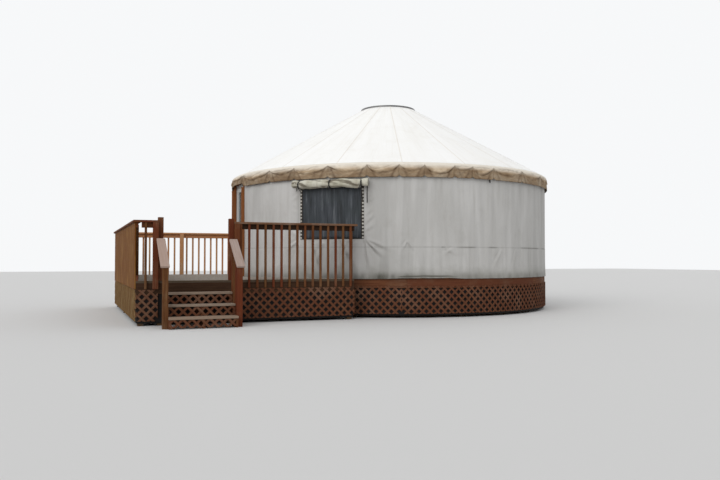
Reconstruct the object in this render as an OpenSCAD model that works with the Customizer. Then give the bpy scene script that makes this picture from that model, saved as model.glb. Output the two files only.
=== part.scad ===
// Round canvas yurt on a raised timber platform, with an entry deck and stairs.
// The origin is on the ground under the yurt's centre. +X runs along the front
// edge of the deck, +Y runs away from the stairs, and the door faces -X.

/* [Platform] */
// Outside radius of the round platform
platform_r = 3650; // [3500:10:3800]
// Height of one stair riser
rise = 188; // [170:1:200]
// Number of risers from the ground to the deck
risers = 4; // [3:1:5]
// Thickness of the round plywood floor
floor_t = 28; // [18:1:36]
// Height of the rim boards round the platform and the deck
rim_h = 184; // [150:1:230]
// Thickness of the rim boards and the joists
board_t = 38; // [30:1:45]
// Depth of the platform's joists
joist_h = 140; // [120:1:180]
// Spacing of the joists
joist_pitch = 406; // [300:2:610]
// Depth of the beams under the joists
beam_h = 140; // [100:1:150]
// Distance of the outer beams from the centre
beam_offset = 2000; // [1500:50:2400]
// Width of the square posts
post_w = 89; // [75:1:120]

/* [Deck] */
// Distance that the deck runs on to the left of the platform
deck_run = 2450; // [2200:10:2900]
// Distance of the deck's front edge behind the platform's foremost point
deck_front_in = 300; // [150:10:400]
// Distance of the deck's back edge in front of the platform's rearmost point
deck_back_in = 1450; // [1000:10:1700]
// Length of the deck's short right end, from its front edge to the yurt
deck_end = 437.5; // [400:0.5:600]
// Thickness of the deck boards
deck_t = 38; // [25:1:45]

/* [Lattice skirt] */
// Diagonal of one diamond of the skirt's lattice
diamond = 145; // [110:1:180]
// Width of a slat of the skirt
slat_w = 38; // [25:1:45]
// Thickness of a slat of the skirt
slat_t = 8; // [6:1:12]
// Height of the skirt's lower edge above the ground
skirt_foot = 80; // [40:5:120]
// Distance that the skirt laps over the rim boards
skirt_lap = 38; // [20:1:60]
// Width of the strip along the skirt's upper and lower edge
skirt_edge = 16; // [10:1:30]
// Flat panels in each third of the round skirt
skirt_panels = 12; // [10:1:16]

/* [Stairs] */
// Depth of one stair, from nosing to nosing
going = 254; // [240:1:300]
// Clear width between the posts of the stairs
stair_w = 1110; // [900:10:1200]
// Distance from the deck's left side to the left side of the stairs
stair_inset = 445; // [400:5:600]
// Overhang of a tread in front of its riser
nosing = 25; // [15:1:35]
// Depth of the notched boards that carry the treads, below the notches
stringer_d = 100; // [80:1:140]
// Height of the sloping handrail above the nosings
handrail_h = 790; // [700:10:900]
// Distance that the handrail reaches in over the stairs
handrail_in = 15; // [5:1:40]

/* [Railings] */
// Height of the railing's cap above the deck
rail_h = 1019; // [900:1:1100]
// Width of the railing's cap board
cap_w = 140; // [120:1:160]
// Overhang of the cap outside the deck's edge
cap_out = 50; // [40:1:60]
// Height of the board under the cap
subrail_h = 89; // [70:1:100]
// Width of the square balusters
baluster_w = 38; // [30:1:45]
// Spacing of the balusters
baluster_pitch = 147; // [110:1:180]
// Distance between the first baluster of a railing and the post beside it
baluster_inset = 8; // [4:1:30]
// Distance that the balusters run down below the deck's surface
baluster_drop = 135; // [100:1:150]
// Height of the newel posts above the cap
newel_top = 55; // [30:1:100]
// Largest spacing of the posts behind the board panel
panel_post_pitch = 1900; // [1500:10:2400]
// Length of the board panel's front end that stands free of posts
panel_free_end = 950; // [100:10:1200]
// Distance of the short return's baluster from the railing's corner
return_baluster = 180; // [120:5:200]

/* [Wall] */
// Height of the eave above the door frame
eave_rise = 91; // [85:1:120]
// Thickness of the wall cover as it is modelled
cover_t = 6; // [4:0.5:8]
// Distance that the wall cover laps down over the rim
hem_lap = 12; // [8:1:20]
// Width of a lath of the wall's lattice
lath_w = 38; // [25:1:45]
// Thickness of a lath of the wall's lattice
lath_t = 10; // [8:1:14]
// Flat panels in each third of the wall's lattice
wall_panels = 12; // [10:1:16]
// Diamonds across one flat panel of the wall's lattice
wall_diamonds = 2; // [1:1:3]
// Height of one diamond of the wall's lattice
wall_diamond_h = 354; // [280:1:420]

/* [Windows] */
// Angle from the door to the middle of each window
window_turn = 48.1; // [40:0.1:60]
// Angle that each window covers
window_arc = 19.2; // [14:0.1:22]
// Distance from the valance's lower edge down to the window
window_drop = 166; // [140:1:260]
// Height of the window's opening
window_h = 1000; // [800:10:1050]
// Thickness of the insect mesh as it is modelled
mesh_t = 2; // [1:0.5:4]
// Diameter of the rolled flap above the window
flap_d = 160; // [100:5:180]
// Height of the middle of the rolled flap above the window's opening
flap_rise = 40; // [20:1:50]
// Angle that the rolled flap covers
flap_arc = 26; // [20:0.1:30]

/* [Roof] */
// Slope of the roof in degrees
roof_pitch = 29.6; // [24:0.1:34]
// Number of gores in the roof cover
gores = 18; // [12:1:24]
// Overhang of the roof cover outside the wall
eave_out = 50; // [42:1:70]
// Height of the roof cover's turned-down edge
eave_drop = 60; // [40:1:100]
// Height of the valance that hangs at the eave
valance_h = 258; // [220:1:280]
// Width of a rafter
rafter_w = 38; // [30:1:50]
// Depth of a rafter
rafter_h = 89; // [75:1:110]
// Outside radius of the wooden ring at the crown
ring_r = 640; // [560:1:660]
// Width of the ring's section
ring_w = 100; // [70:1:130]
// Height of the ring's section
ring_h = 170; // [150:1:200]
// Diameter of the steel cable on top of the wall
cable_d = 10; // [8:0.5:14]
// Radius of the skylight dome
dome_r = 651; // [645:1:700]
// Height of the dome's upright rim
dome_rim = 40; // [30:1:60]
// Height of the dome above its rim
dome_h = 60; // [40:1:90]
// Thickness of the dome's acrylic
dome_t = 6; // [4:0.5:8]

/* [Door] */
// Width of the door leaf
door_w = 914; // [860:1:940]
// Height of the door leaf
door_h = 2026; // [1950:1:2026]
// Thickness of the door leaf
door_t = 44; // [35:1:50]
// Thickness of the door frame's boards
jamb_t = 45; // [38:1:45]
// Distance that the door frame reaches inside the wall
jamb_in = 110; // [100:1:120]
// Distance that the door frame reaches outside the wall
jamb_out = 40; // [30:1:46]
// Height of the threshold
threshold_h = 20; // [15:1:25]
// Clearance round the door leaf
door_gap = 5; // [5:0.5:6]
// Width of the glass in the door
pane_w = 560; // [400:10:600]
// Height of the glass in the door
pane_h = 860; // [600:10:900]
// Thickness of the glass in the door
pane_t = 6; // [4:1:10]
// Width of the stop strip round the frame
stop_w = 12; // [10:1:14]
// Height of one hinge
hinge_h = 100; // [80:1:120]
// Radius of the hinge's barrel
barrel_r = 7; // [6:0.5:8]
// Radius of the hinge's pin
pin_r = 4; // [3:0.25:4.5]
// Diameter of the door knob
knob_d = 56; // [45:1:60]
// Depth of the door knob
knob_depth = 36; // [30:1:44]
// Distance from the door's face to the middle of the knob
knob_out = 40; // [34:1:50]
// Height of the door knob above the floor
knob_h = 960; // [900:10:1050]
// Distance from the door's edge to the middle of the knob
knob_backset = 70; // [60:1:80]
// Width of one leaf of a hinge
hinge_w = 40; // [30:1:50]
// Thickness of one leaf of a hinge on the frame
hinge_t = 3; // [2:0.5:5]
// Distance from the door's ends to the middle of the outer hinges
hinge_inset = 180; // [150:5:250]
// Width of the door's top rail above the glass
door_rail = 180; // [120:5:220]

/* [Hidden] */
$fn = 180;
fit = 0.3;

stain = "#8a5a3a";
weathered = "#a8a39b";
lumber = "#c9a679";
canvas = "#a9a69f";
rose_r = 30;
rose_t = 6;
knob_neck_r = 10;
ring_lip = 15;
rafter_tail = 15;
riser_foot = 20;
seam = 0.01;

deck_left = platform_r + deck_run;
deck_front = platform_r - deck_front_in;
deck_back = platform_r - deck_back_in;
deck_right = circle_x(deck_front - deck_end);
stair_left = deck_left - stair_inset;
stair_right = stair_left - stair_w;

floor_z = risers * rise;
rim_bottom = floor_z - rim_h;
rim_in = platform_r - board_t;
joist_top = floor_z - floor_t;
beam_top = joist_top - joist_h;
post_top = beam_top - beam_h;

deck_under = floor_z - deck_t;
deck_frame_h = rim_h;
deck_frame_bottom = deck_under - deck_frame_h;
deck_cut_r = platform_r + cover_t + hem_lap;

skirt_top = rim_bottom + skirt_lap;
skirt_h = skirt_top - skirt_foot;
skirt_t = 2 * slat_t;
skirt_from = 360 - acos(-deck_right / platform_r) + 1;
skirt_to = 360 + acos(-circle_x(deck_back) / platform_r) - 1;
skirt_step = (skirt_to - skirt_from) / (3 * skirt_panels);

cap_top = floor_z + rail_h;
cap_under = cap_top - board_t;
baluster_foot = floor_z - baluster_drop;
newel_z = cap_top + newel_top;
corner_cap = board_t + post_w - cap_w + cap_out;

leaf_z = floor_z + threshold_h + door_gap;
head_z = leaf_z + door_h + door_gap;
head_top = head_z + jamb_t;

cover_in = platform_r + fit;
cover_out = cover_in + cover_t;
eave_z = head_top + eave_rise;
eave_r = platform_r + eave_out;
door_half = door_w / 2 + door_gap + jamb_t;
door_turn = asin((door_half + 2 * fit) / (platform_r - 2 * lath_t - 1));
wall_step = (360 - 2 * door_turn) / (3 * wall_panels);
lattice_out = (cover_in - fit) * cos(wall_step / 2);
lattice_in = lattice_out - 2 * lath_t;

cable_r = (lattice_in + lattice_out) / 2;
rafter_end = cable_r + rafter_tail;
rafter_root = ring_r + fit;
lattice_top = rafter_low(rafter_end) - 1;
cable_z = lattice_top + cable_d / 2 + fit;
ring_top = rafter_high(ring_r) - fit;
crown_hole = ring_r - ring_lip;

window_from = 180 + window_turn - window_arc / 2;
window_to = 180 + window_turn + window_arc / 2;
valance_top = eave_z - fit;
valance_z = valance_top - valance_h;
window_top = valance_z - window_drop;
sill_z = window_top - window_h;
cover_top = eave_z - cover_t;
cover_foot = floor_z - hem_lap;
side_arc = (540 - 2 * window_turn - window_arc - 180) / 5;

frame_inner = door_w / 2 + door_gap;
jamb_inner = platform_r - jamb_in;
jamb_outer = platform_r + jamb_out;
leaf_in = jamb_inner + door_gap;
leaf_out = leaf_in + door_t;
hinge_x = -(jamb_inner - barrel_r - 1);
hinge_y = door_w / 2 + door_gap / 2;
hinge_heights = [leaf_z + hinge_inset, leaf_z + door_h / 2, leaf_z + door_h - hinge_inset];
pane_z = leaf_z + door_h - pane_h - door_rail;

// Half length of a chord of the platform at a distance from its centre
function circle_x(y) = sqrt(max(platform_r * platform_r - y * y, 0));
// Half length of a board that fits inside a circle, measured at its outer side
function inside(r, y, t) = sqrt(r * r - pow(abs(y) + t / 2, 2));
// Height of the roof cover's outer face at a radius
function roof_z(r) = eave_z + (eave_r - r) * tan(roof_pitch);
// Heights of a rafter's upper and lower edge at a radius
function rafter_high(r) = roof_z(r) - (cover_t + fit) / cos(roof_pitch);
function rafter_low(r) = rafter_high(r) - rafter_h / cos(roof_pitch);
// Evenly spread places along a length, at most a pitch apart
function spread(from, to, pitch) =
    let (n = ceil((to - from) / pitch))
    [for (i = [0 : n]) from + i * (to - from) / n];

// A box given by its lowest and highest corner
module block(low, high) {
    translate(low) cube(high - low);
}

// A part of a ring of rectangular section, between two angles
module arc_wall(r, t, z0, z1, a0, a1) {
    rotate([0, 0, a0])
        rotate_extrude(angle = a1 - a0, $fn = 360)
            translate([r, z0])
                square([t, z1 - z0]);
}

// One layer of parallel slats that cross a panel, with its edge strips
module slat_layer(w, h, pitch_x, pitch_y, width, edge, lean) {
    rows = ceil(h / pitch_y) + 1;
    columns = ceil(w / pitch_x) + 1;
    reach = 2 * (w + h);
    intersection() {
        square([w, h]);
        union() {
            for (i = [-rows : columns + rows])
                translate([i * pitch_x, 0])
                    rotate(lean)
                        translate([-reach, -width / 2])
                            square([2 * reach, width]);
            square([w, edge]);
            translate([0, h - edge])
                square([w, edge]);
        }
    }
}

// A flat lattice panel of two layers of slats, fastened where they cross
module lattice_panel(w, h, pitch_x, pitch_y, width, t, edge) {
    lean = atan2(pitch_y, pitch_x);
    linear_extrude(t)
        slat_layer(w, h, pitch_x, pitch_y, width, edge, lean);
    translate([0, 0, t])
        linear_extrude(t)
            slat_layer(w, h, pitch_x, pitch_y, width, edge, -lean);
}

// Flat lattice panels side by side along a circle, each with whole diamonds
module lattice_round(r, h, z, from, step, count, diamonds, pitch_y, width, t, edge) {
    w = 2 * r * tan(step / 2) - 2 * fit;
    for (k = [0 : count - 1])
        rotate([0, 0, from + (k + 0.5) * step])
            translate([r, -w / 2, z])
                rotate([90, 0, 90])
                    lattice_panel(w, h, w / diamonds, pitch_y, width, t, edge);
}

// Posts under the round platform, three under each beam
module platform_posts() {
    color(lumber)
        for (x = [-beam_offset, 0, beam_offset]) {
            reach = inside(rim_in, x, post_w) - 2 * post_w;
            for (y = [-reach, 0, reach])
                block([x - post_w / 2, y - post_w / 2, 0], [x + post_w / 2, y + post_w / 2, post_top]);
        }
}

// Three doubled beams that carry the joists
module platform_beams() {
    color(lumber)
        for (x = [-beam_offset, 0, beam_offset]) {
            reach = inside(rim_in, x, 2 * board_t) - fit;
            block([x - board_t, -reach, post_top], [x + board_t, reach, beam_top]);
        }
}

// Joists across the beams, each cut to the circle
module platform_joists() {
    count = floor((rim_in - board_t) / joist_pitch);
    color(lumber)
        for (k = [-count : count]) {
            y = k * joist_pitch;
            reach = inside(rim_in, y, board_t) - fit;
            block([-reach, y - board_t / 2, beam_top], [reach, y + board_t / 2, joist_top]);
        }
}

// Bent rim board round the joists and the floor
module platform_rim() {
    color(stain)
        rotate_extrude()
            translate([rim_in, rim_bottom])
                square([board_t, rim_h]);
}

// Round plywood floor inside the rim
module platform_floor() {
    color(lumber)
        translate([0, 0, joist_top])
            cylinder(r = rim_in - fit, h = floor_t);
}

// One third of the round lattice skirt below the platform
module skirt_third(k) {
    r = platform_r + fit;
    w = 2 * r * tan(skirt_step / 2);
    color(stain)
        lattice_round(r, skirt_h, skirt_foot, skirt_from + k * skirt_panels * skirt_step, skirt_step,
                      skirt_panels, max(1, round(w / diamond)), diamond, slat_w, slat_t, skirt_edge);
}

// Posts under the deck's frame, flush with its corners
module deck_posts() {
    left = -deck_left + board_t;
    front = -deck_front + board_t;
    places = [[left, front], [-stair_left - post_w, front], [-stair_right, front],
              [-deck_right - board_t - post_w, front], [left, -post_w / 2],
              [left, deck_back - board_t - post_w], [-stair_right, deck_back - board_t - post_w]];
    color(lumber)
        for (p = places)
            block([p[0], p[1], 0], [p[0] + post_w, p[1] + post_w, deck_frame_bottom]);
}

// Rim boards and joists of the deck
module deck_frame() {
    back_end = -circle_x(deck_back - board_t) - fit;
    right_end = -circle_x(deck_right) - fit;
    color(stain) {
        block([-deck_left, -deck_front, deck_frame_bottom],
              [-deck_right, -deck_front + board_t, deck_under]);
        block([-deck_left, -deck_front, deck_frame_bottom],
              [-deck_left + board_t, deck_back, deck_under]);
        block([-deck_left, deck_back - board_t, deck_frame_bottom],
              [back_end, deck_back, deck_under]);
        block([-deck_right - board_t, -deck_front, deck_frame_bottom],
              [-deck_right, right_end, deck_under]);
        for (x = spread(-deck_left + board_t / 2, -deck_right - board_t / 2, joist_pitch))
            if (x > -deck_left + board_t && x < -deck_right - 2 * board_t)
                deck_joist(x);
    }
}

// One joist of the deck, in two lengths where the round platform interrupts it
module deck_joist(x) {
    near = x + board_t / 2;
    gap = near > -platform_r ? circle_x(near) + fit : 0;
    ends = gap > 0 ? [[-deck_front, -gap], [gap, deck_back]] : [[-deck_front, deck_back]];
    for (e = ends)
        if (e[1] - e[0] > board_t)
            block([x - board_t / 2, e[0] + (e[0] < 0 ? board_t / 2 : 0), deck_frame_bottom],
                  [near, e[1] - (e[1] > 0 ? board_t / 2 : 0), deck_under]);
}

// The deck's surface, cut round the yurt
module deck_boards() {
    color(weathered)
        translate([0, 0, deck_under])
            linear_extrude(deck_t)
                difference() {
                    translate([-deck_left, -deck_front])
                        square([deck_left - deck_right, deck_front + deck_back]);
                    circle(r = deck_cut_r);
                }
}

// A lattice panel that stands on edge along X from a corner
module skirt_along_x(x0, x1, y) {
    w = x1 - x0;
    translate([x0, y, skirt_foot])
        rotate([90, 0, 0])
            lattice_panel(w, skirt_h, diamond, diamond, slat_w, slat_t, skirt_edge);
}

// A lattice panel that stands on edge along Y from a corner
module skirt_along_y(y0, y1, x) {
    w = y1 - y0;
    translate([x, y0, skirt_foot])
        rotate([90, 0, 90])
            lattice_panel(w, skirt_h, diamond, diamond, slat_w, slat_t, skirt_edge);
}

// Skirt along the deck's front, on both sides of the stairs, and its short return
module deck_skirt_front() {
    color(stain) {
        skirt_along_x(-deck_left, -stair_left - post_w - fit, -deck_front);
        skirt_along_x(-stair_right + post_w + fit, -deck_right, -deck_front);
        skirt_along_y(-deck_front, -circle_x(deck_right) - skirt_t - fit, -deck_right);
    }
}

// Skirt along the deck's left side
module deck_skirt_left() {
    color(stain)
        skirt_along_y(-deck_front, deck_back, -deck_left - skirt_t);
}

// Skirt along the deck's back
module deck_skirt_back() {
    color(stain)
        skirt_along_x(-deck_left, -circle_x(deck_back) - skirt_t - fit, deck_back + skirt_t);
}

// Side view of a notched stair board, with x as the distance from the deck
function stringer_outline() =
    let (n = risers - 1, low = rise - deck_t)
    concat([[0, n * rise - deck_t]],
           [for (k = [n : -1 : 1], e = [0, 1])
               [(n - k + e) * going, k * rise - deck_t]],
           [[n * going, 0], [(n - 1) * going - stringer_d / 2, 0],
            [0, n * rise - deck_t - rise - stringer_d]]);

// Three notched boards under the treads
module stair_stringers() {
    inner = -stair_left + fit;
    outer = -stair_right - fit - board_t;
    color(stain)
        for (x = [inner, (inner + outer) / 2, outer])
            translate([x, -deck_front - skirt_t, 0])
                rotate([90, 0, 90])
                    linear_extrude(board_t)
                        mirror([1, 0])
                            polygon(stringer_outline());
}

// Front edge of a tread, counted from the top one down
function tread_y(k) = -deck_front - skirt_t - k * going;

// One tread for each riser below the deck
module stair_treads() {
    color(weathered)
        for (k = [1 : risers - 1])
            block([-stair_left + fit, tread_y(k) - nosing, (risers - k) * rise - deck_t],
                  [-stair_right - fit, tread_y(k - 1) - (k == 1 ? 0 : slat_t * 2 + fit),
                   (risers - k) * rise]);
}

// Lattice risers that close the stairs under the treads
module stair_risers() {
    w = stair_w - 2 * fit;
    color(stain)
        for (k = [1 : risers - 1]) {
            low = k == risers - 1 ? riser_foot : (risers - k - 1) * rise;
            high = (risers - k) * rise - deck_t;
            translate([-stair_left + fit, tread_y(k), low])
                rotate([90, 0, 0])
                    lattice_panel(w, high - low, diamond, diamond, slat_w, slat_t, skirt_edge);
        }
}

// Height of the handrail's upper face at a place along the stairs
function handrail_z(y) = floor_z + handrail_h + (y + deck_front) * rise / going;
// Height of the handrail's underside there
function handrail_under(y) = handrail_z(y) - board_t / cos(atan2(rise, going));

// A piece between two places along the stairs, with its top cut to the handrail
module stair_upright(x, width, y0, y1, low) {
    translate([x, 0, 0])
        rotate([90, 0, 90])
            linear_extrude(width)
                polygon([[y0, low], [y1, low], [y1, handrail_under(y1)], [y0, handrail_under(y0)]]);
}

// Posts, balusters and flat sloping handrails on both sides of the stairs
module stair_rails() {
    top_y = -deck_front - post_w - fit;
    foot_y = tread_y(risers - 1) + 2 * post_w;
    end_y = foot_y - post_w - nosing;
    color(stain)
        for (side = [0, 1]) {
            post_x = side == 0 ? -stair_right : -stair_left - post_w;
            head_x = side == 0 ? post_x + post_w : post_x - post_w;
            baluster_x = side == 0 ? post_x : -stair_left - baluster_w;
            board_x = side == 0 ? -stair_right - handrail_in : -stair_left + handrail_in - cap_w;
            block([head_x + fit, -deck_front - post_w, baluster_foot],
                  [head_x + post_w - fit, -deck_front, cap_under]);
            stair_upright(post_x, post_w, foot_y - post_w, foot_y, 0);
            for (y = [top_y - baluster_pitch : -baluster_pitch : foot_y + baluster_w])
                stair_upright(baluster_x, baluster_w, y, y + baluster_w,
                              floor_z - rise - stringer_d / 2 + (y + deck_front) * rise / going);
            translate([board_x, 0, 0])
                rotate([90, 0, 90])
                    linear_extrude(cap_w)
                        polygon([[top_y, handrail_z(top_y)], [top_y, handrail_under(top_y)],
                                 [end_y, handrail_under(end_y)], [end_y, handrail_z(end_y)]]);
        }
}

// A straight railing along +X, with its outer face at y = 0 and the deck on +Y.
// The cap runs on past each end by the two lengths in more, and the balusters keep
// clear of each end by the two lengths in free.
module railing(length, posts, more = [0, 0], free = [0, 0]) {
    start = free[0] + baluster_inset;
    count = floor((length - free[1] - start - baluster_w) / baluster_pitch);
    block([-more[0], -cap_out, cap_under], [length + more[1], cap_w - cap_out, cap_top]);
    block([0, 0, cap_under - subrail_h], [length, board_t, cap_under]);
    for (i = [0 : count])
        block([start + i * baluster_pitch, -baluster_w, baluster_foot],
              [start + i * baluster_pitch + baluster_w, 0, cap_under]);
    for (x = posts)
        block([x, board_t, floor_z], [x + post_w, board_t + post_w, cap_under]);
}

// A newel post at the head of the stairs, taller than the cap
module newel(x) {
    block([x, -deck_front, floor_z], [x + post_w, -deck_front + post_w, newel_z]);
}

// Railing from the stairs' right side to the yurt, with a short return
module rail_front_right() {
    start = -stair_right + post_w;
    length = -deck_right - start;
    depth = deck_front - circle_x(deck_right) - 2 * post_w;
    color(stain) {
        newel(-stair_right);
        translate([start, -deck_front, 0])
            railing(length, [], [0, cap_out], [post_w, 0]);
        translate([-deck_right, -deck_front, 0])
            rotate([0, 0, 90]) {
                block([cap_w - cap_out, -cap_out, cap_under], [depth, cap_w - cap_out, cap_top]);
                block([board_t, 0, cap_under - subrail_h], [depth, board_t, cap_under]);
                block([return_baluster, -baluster_w, baluster_foot],
                      [return_baluster + baluster_w, 0, cap_under]);
            }
    }
}

// Short railing between the stairs' left side and the corner of the deck
module rail_front_left() {
    start = -deck_left - cap_out + cap_w + fit;
    color(stain) {
        newel(-stair_left - post_w);
        translate([start, -deck_front, 0])
            railing(-stair_left - post_w - start, [], free = [corner_cap, post_w]);
    }
}

// Railing along the back of the deck
module rail_back() {
    end = -circle_x(deck_back) - 2 * post_w;
    start = -deck_left + board_t + post_w + fit;
    color(stain)
        translate([end, deck_back, 0])
            rotate([0, 0, 180])
                railing(end - start, [0, (end - start) / 2], [0, corner_cap]);
}

// Solid board panel with a cap along the deck's left side
module privacy_panel() {
    length = deck_front + deck_back;
    places = spread(0, length - panel_free_end - post_w, panel_post_pitch);
    color(stain)
        translate([-deck_left, deck_back, 0])
            rotate([0, 0, 270]) {
                block([-cap_out, -cap_out, cap_under], [length + cap_out, cap_w - cap_out, cap_top]);
                block([0, 0, cap_under - subrail_h], [length, board_t, cap_under]);
                block([0, 0, floor_z], [length, board_t, floor_z + subrail_h]);
                block([0, -board_t / 2, baluster_foot], [length, 0, cap_under]);
                for (x = places)
                    block([x, board_t, floor_z], [x + post_w, board_t + post_w, cap_under]);
            }
}

// One third of the wall's lattice, which starts and ends at the door
module wall_third(k) {
    color(lumber)
        lattice_round(lattice_in, lattice_top - floor_z, floor_z,
                      180 + door_turn + k * wall_panels * wall_step, wall_step,
                      wall_panels, wall_diamonds, wall_diamond_h, lath_w, lath_t, lath_t);
}

// Steel cable that lies on the lattice and holds the rafters' thrust
module tension_cable() {
    color("silver")
        rotate_extrude()
            translate([cable_r, cable_z])
                circle(d = cable_d, $fn = 24);
}

// Wooden ring that the rafters press against
module crown_ring() {
    color(lumber)
        rotate_extrude()
            translate([ring_r - ring_w, ring_top - ring_h])
                square([ring_w, ring_h]);
}

// Rafters from the wall to the ring, notched over the cable
module rafters() {
    angles = concat([180], [for (k = [0 : 3 * wall_panels]) 180 + door_turn + k * wall_step]);
    color(lumber)
        for (a = angles)
            rotate([0, 0, a])
                translate([0, rafter_w / 2, 0])
                    rotate([90, 0, 0])
                        linear_extrude(rafter_w)
                            difference() {
                                polygon([[rafter_root, rafter_low(rafter_root)],
                                         [rafter_end, rafter_low(rafter_end)],
                                         [rafter_end, rafter_high(rafter_end)],
                                         [rafter_root, rafter_high(rafter_root)]]);
                                translate([cable_r, cable_z])
                                    circle(d = cable_d + 2 * fit, $fn = 24);
                            }
}

// A length of the wall cover, as high as the wall
module cover_segment(k) {
    color(canvas)
        arc_wall(cover_in, cover_t, cover_foot, cover_top,
                 window_to + k * side_arc + seam, window_to + (k + 1) * side_arc - seam);
}

// Wall cover on both sides of the door and above it
module wall_cover_entry() {
    color(canvas) {
        arc_wall(cover_in, cover_t, cover_foot, cover_top, 180 + door_turn, window_from - seam);
        arc_wall(cover_in, cover_t, cover_foot, cover_top, 360 - window_from + seam, 180 - door_turn);
        arc_wall(cover_in, cover_t, head_top + fit, cover_top,
                 180 - door_turn + seam, 180 + door_turn - seam);
    }
}

// Wall cover below and above both windows
module wall_cover_windows() {
    color(canvas)
        for (a = [window_from, 360 - window_to]) {
            arc_wall(cover_in, cover_t, cover_foot, sill_z, a, a + window_arc);
            arc_wall(cover_in, cover_t, window_top, cover_top, a, a + window_arc);
        }
}

// Insect mesh in both windows
module window_screens() {
    color("dimgray")
        for (a = [window_from, 360 - window_to])
            arc_wall(cover_in + (cover_t - mesh_t) / 2, mesh_t, sill_z, window_top, a, a + window_arc);
}

// Window flaps, rolled up above both windows
module window_flaps() {
    middle = (window_from + window_to) / 2;
    color("#c8c8b9")
        for (a = [middle, 360 - middle])
            rotate([0, 0, a - flap_arc / 2])
                rotate_extrude(angle = flap_arc)
                    translate([cover_out + fit + flap_d / 2, window_top + flap_rise])
                        circle(d = flap_d, $fn = 48);
}

// Conical roof cover in gores, with a turned-down edge
module roof_cover() {
    deep = cover_t / cos(roof_pitch);
    color("#f2ede4")
        for (k = [0 : gores - 1])
            rotate([0, 0, k * 360 / gores])
                rotate_extrude(angle = 360 / gores - seam, $fn = 360)
                    polygon([[crown_hole, roof_z(crown_hole)], [eave_r, eave_z],
                             [eave_r, eave_z - eave_drop], [eave_r - cover_t, eave_z - eave_drop],
                             [eave_r - cover_t, roof_z(eave_r - cover_t) - deep],
                             [crown_hole, roof_z(crown_hole) - deep]]);
}

// Band of canvas that hangs at the eave over the top of the wall cover
module valance() {
    color("#a88a68")
        rotate_extrude()
            translate([eave_r + fit, valance_z])
                square([cover_t, valance_h]);
}

// Shallow acrylic dome on the crown, with an upright rim
module skylight_dome() {
    ball = (dome_r * dome_r + dome_h * dome_h) / (2 * dome_h);
    base = roof_z(dome_r - dome_t) + fit;
    crest = base + dome_rim + dome_h;
    color("silver")
        rotate_extrude()
            difference() {
                intersection() {
                    translate([0, base])
                        square([dome_r, dome_rim + dome_h]);
                    translate([0, crest - ball])
                        circle(r = ball, $fn = 720);
                }
                intersection() {
                    translate([-1, base - 1])
                        square([dome_r - dome_t + 1, dome_rim + dome_h + 1]);
                    translate([0, crest - ball])
                        circle(r = ball - dome_t, $fn = 720);
                }
            }
}

// Door frame of two side boards, a head, a threshold and stop strips
module door_frame() {
    color(stain) {
        for (side = [-1, 1]) {
            y0 = side < 0 ? -door_half : frame_inner;
            block([-jamb_outer, y0, floor_z], [-jamb_inner, y0 + jamb_t, valance_z - door_gap]);
            block([-platform_r, y0, floor_z], [-jamb_inner, y0 + jamb_t, head_top]);
            s0 = side < 0 ? -frame_inner : frame_inner - stop_w;
            block([-leaf_out - door_gap - stop_w, s0, floor_z], [-leaf_out - door_gap, s0 + stop_w, head_z]);
        }
        block([-platform_r, -frame_inner, head_z], [-jamb_inner, frame_inner, head_top]);
        block([-leaf_out - door_gap - stop_w, -frame_inner, head_z - stop_w],
              [-leaf_out - door_gap, frame_inner, head_z]);
        block([-jamb_outer, -frame_inner, floor_z], [-jamb_inner, frame_inner, floor_z + threshold_h]);
    }
}

// Door leaf with an opening for the glass and its halves of the hinges
module door_leaf() {
    color("#c4c7c4")
        difference() {
            union() {
                block([-leaf_out, -door_w / 2, leaf_z], [-leaf_in, door_w / 2, leaf_z + door_h]);
                for (z = hinge_heights) {
                    block([-leaf_in, hinge_y - hinge_w, z - hinge_h / 4],
                          [hinge_x, hinge_y, z + hinge_h / 4]);
                    translate([hinge_x, hinge_y, z - hinge_h / 4])
                        cylinder(r = barrel_r, h = hinge_h / 2, $fn = 32);
                }
            }
            block([-leaf_out - 1, -pane_w / 2, pane_z], [-leaf_in + 1, pane_w / 2, pane_z + pane_h]);
            for (z = hinge_heights)
                translate([hinge_x, hinge_y, z - hinge_h])
                    cylinder(r = pin_r + fit, h = 2 * hinge_h, $fn = 32);
        }
}

// Pane of glass in the door
module door_glass() {
    middle = (leaf_in + leaf_out) / 2;
    color("lightblue")
        block([-middle - pane_t / 2, -pane_w / 2, pane_z], [-middle + pane_t / 2, pane_w / 2, pane_z + pane_h]);
}

// Hinge pins and the halves of the hinges that are fixed to the frame
module door_hinges() {
    color("silver")
        for (z = hinge_heights) {
            translate([hinge_x, hinge_y, z - hinge_h / 2])
                cylinder(r = pin_r, h = hinge_h, $fn = 32);
            for (s = [-1, 1]) {
                low = s < 0 ? z - hinge_h / 2 : z + hinge_h / 4 + 1;
                translate([hinge_x, hinge_y, low])
                    cylinder(r = barrel_r, h = hinge_h / 4 - 1, $fn = 32);
                block([-jamb_inner, hinge_y + door_gap, low],
                      [-jamb_inner + hinge_t, hinge_y + hinge_w, low + hinge_h / 4 - 1]);
            }
        }
}

// Door knobs on both faces of the leaf, each on a round plate
module door_handle() {
    y = -door_w / 2 + knob_backset;
    z = floor_z + knob_h;
    color("goldenrod")
        for (side = [-1, 1]) {
            face = side < 0 ? -leaf_out : -leaf_in;
            translate([face, y, z])
                rotate([0, side * 90, 0])
                    rotate_extrude($fn = 48)
                        union() {
                            square([rose_r, rose_t]);
                            square([knob_neck_r, knob_out]);
                            translate([0, knob_out])
                                intersection() {
                                    circle(d = knob_d, $fn = 48);
                                    translate([0, -knob_depth / 2])
                                        square([knob_d, knob_depth]);
                                }
                        }
        }
}

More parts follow.
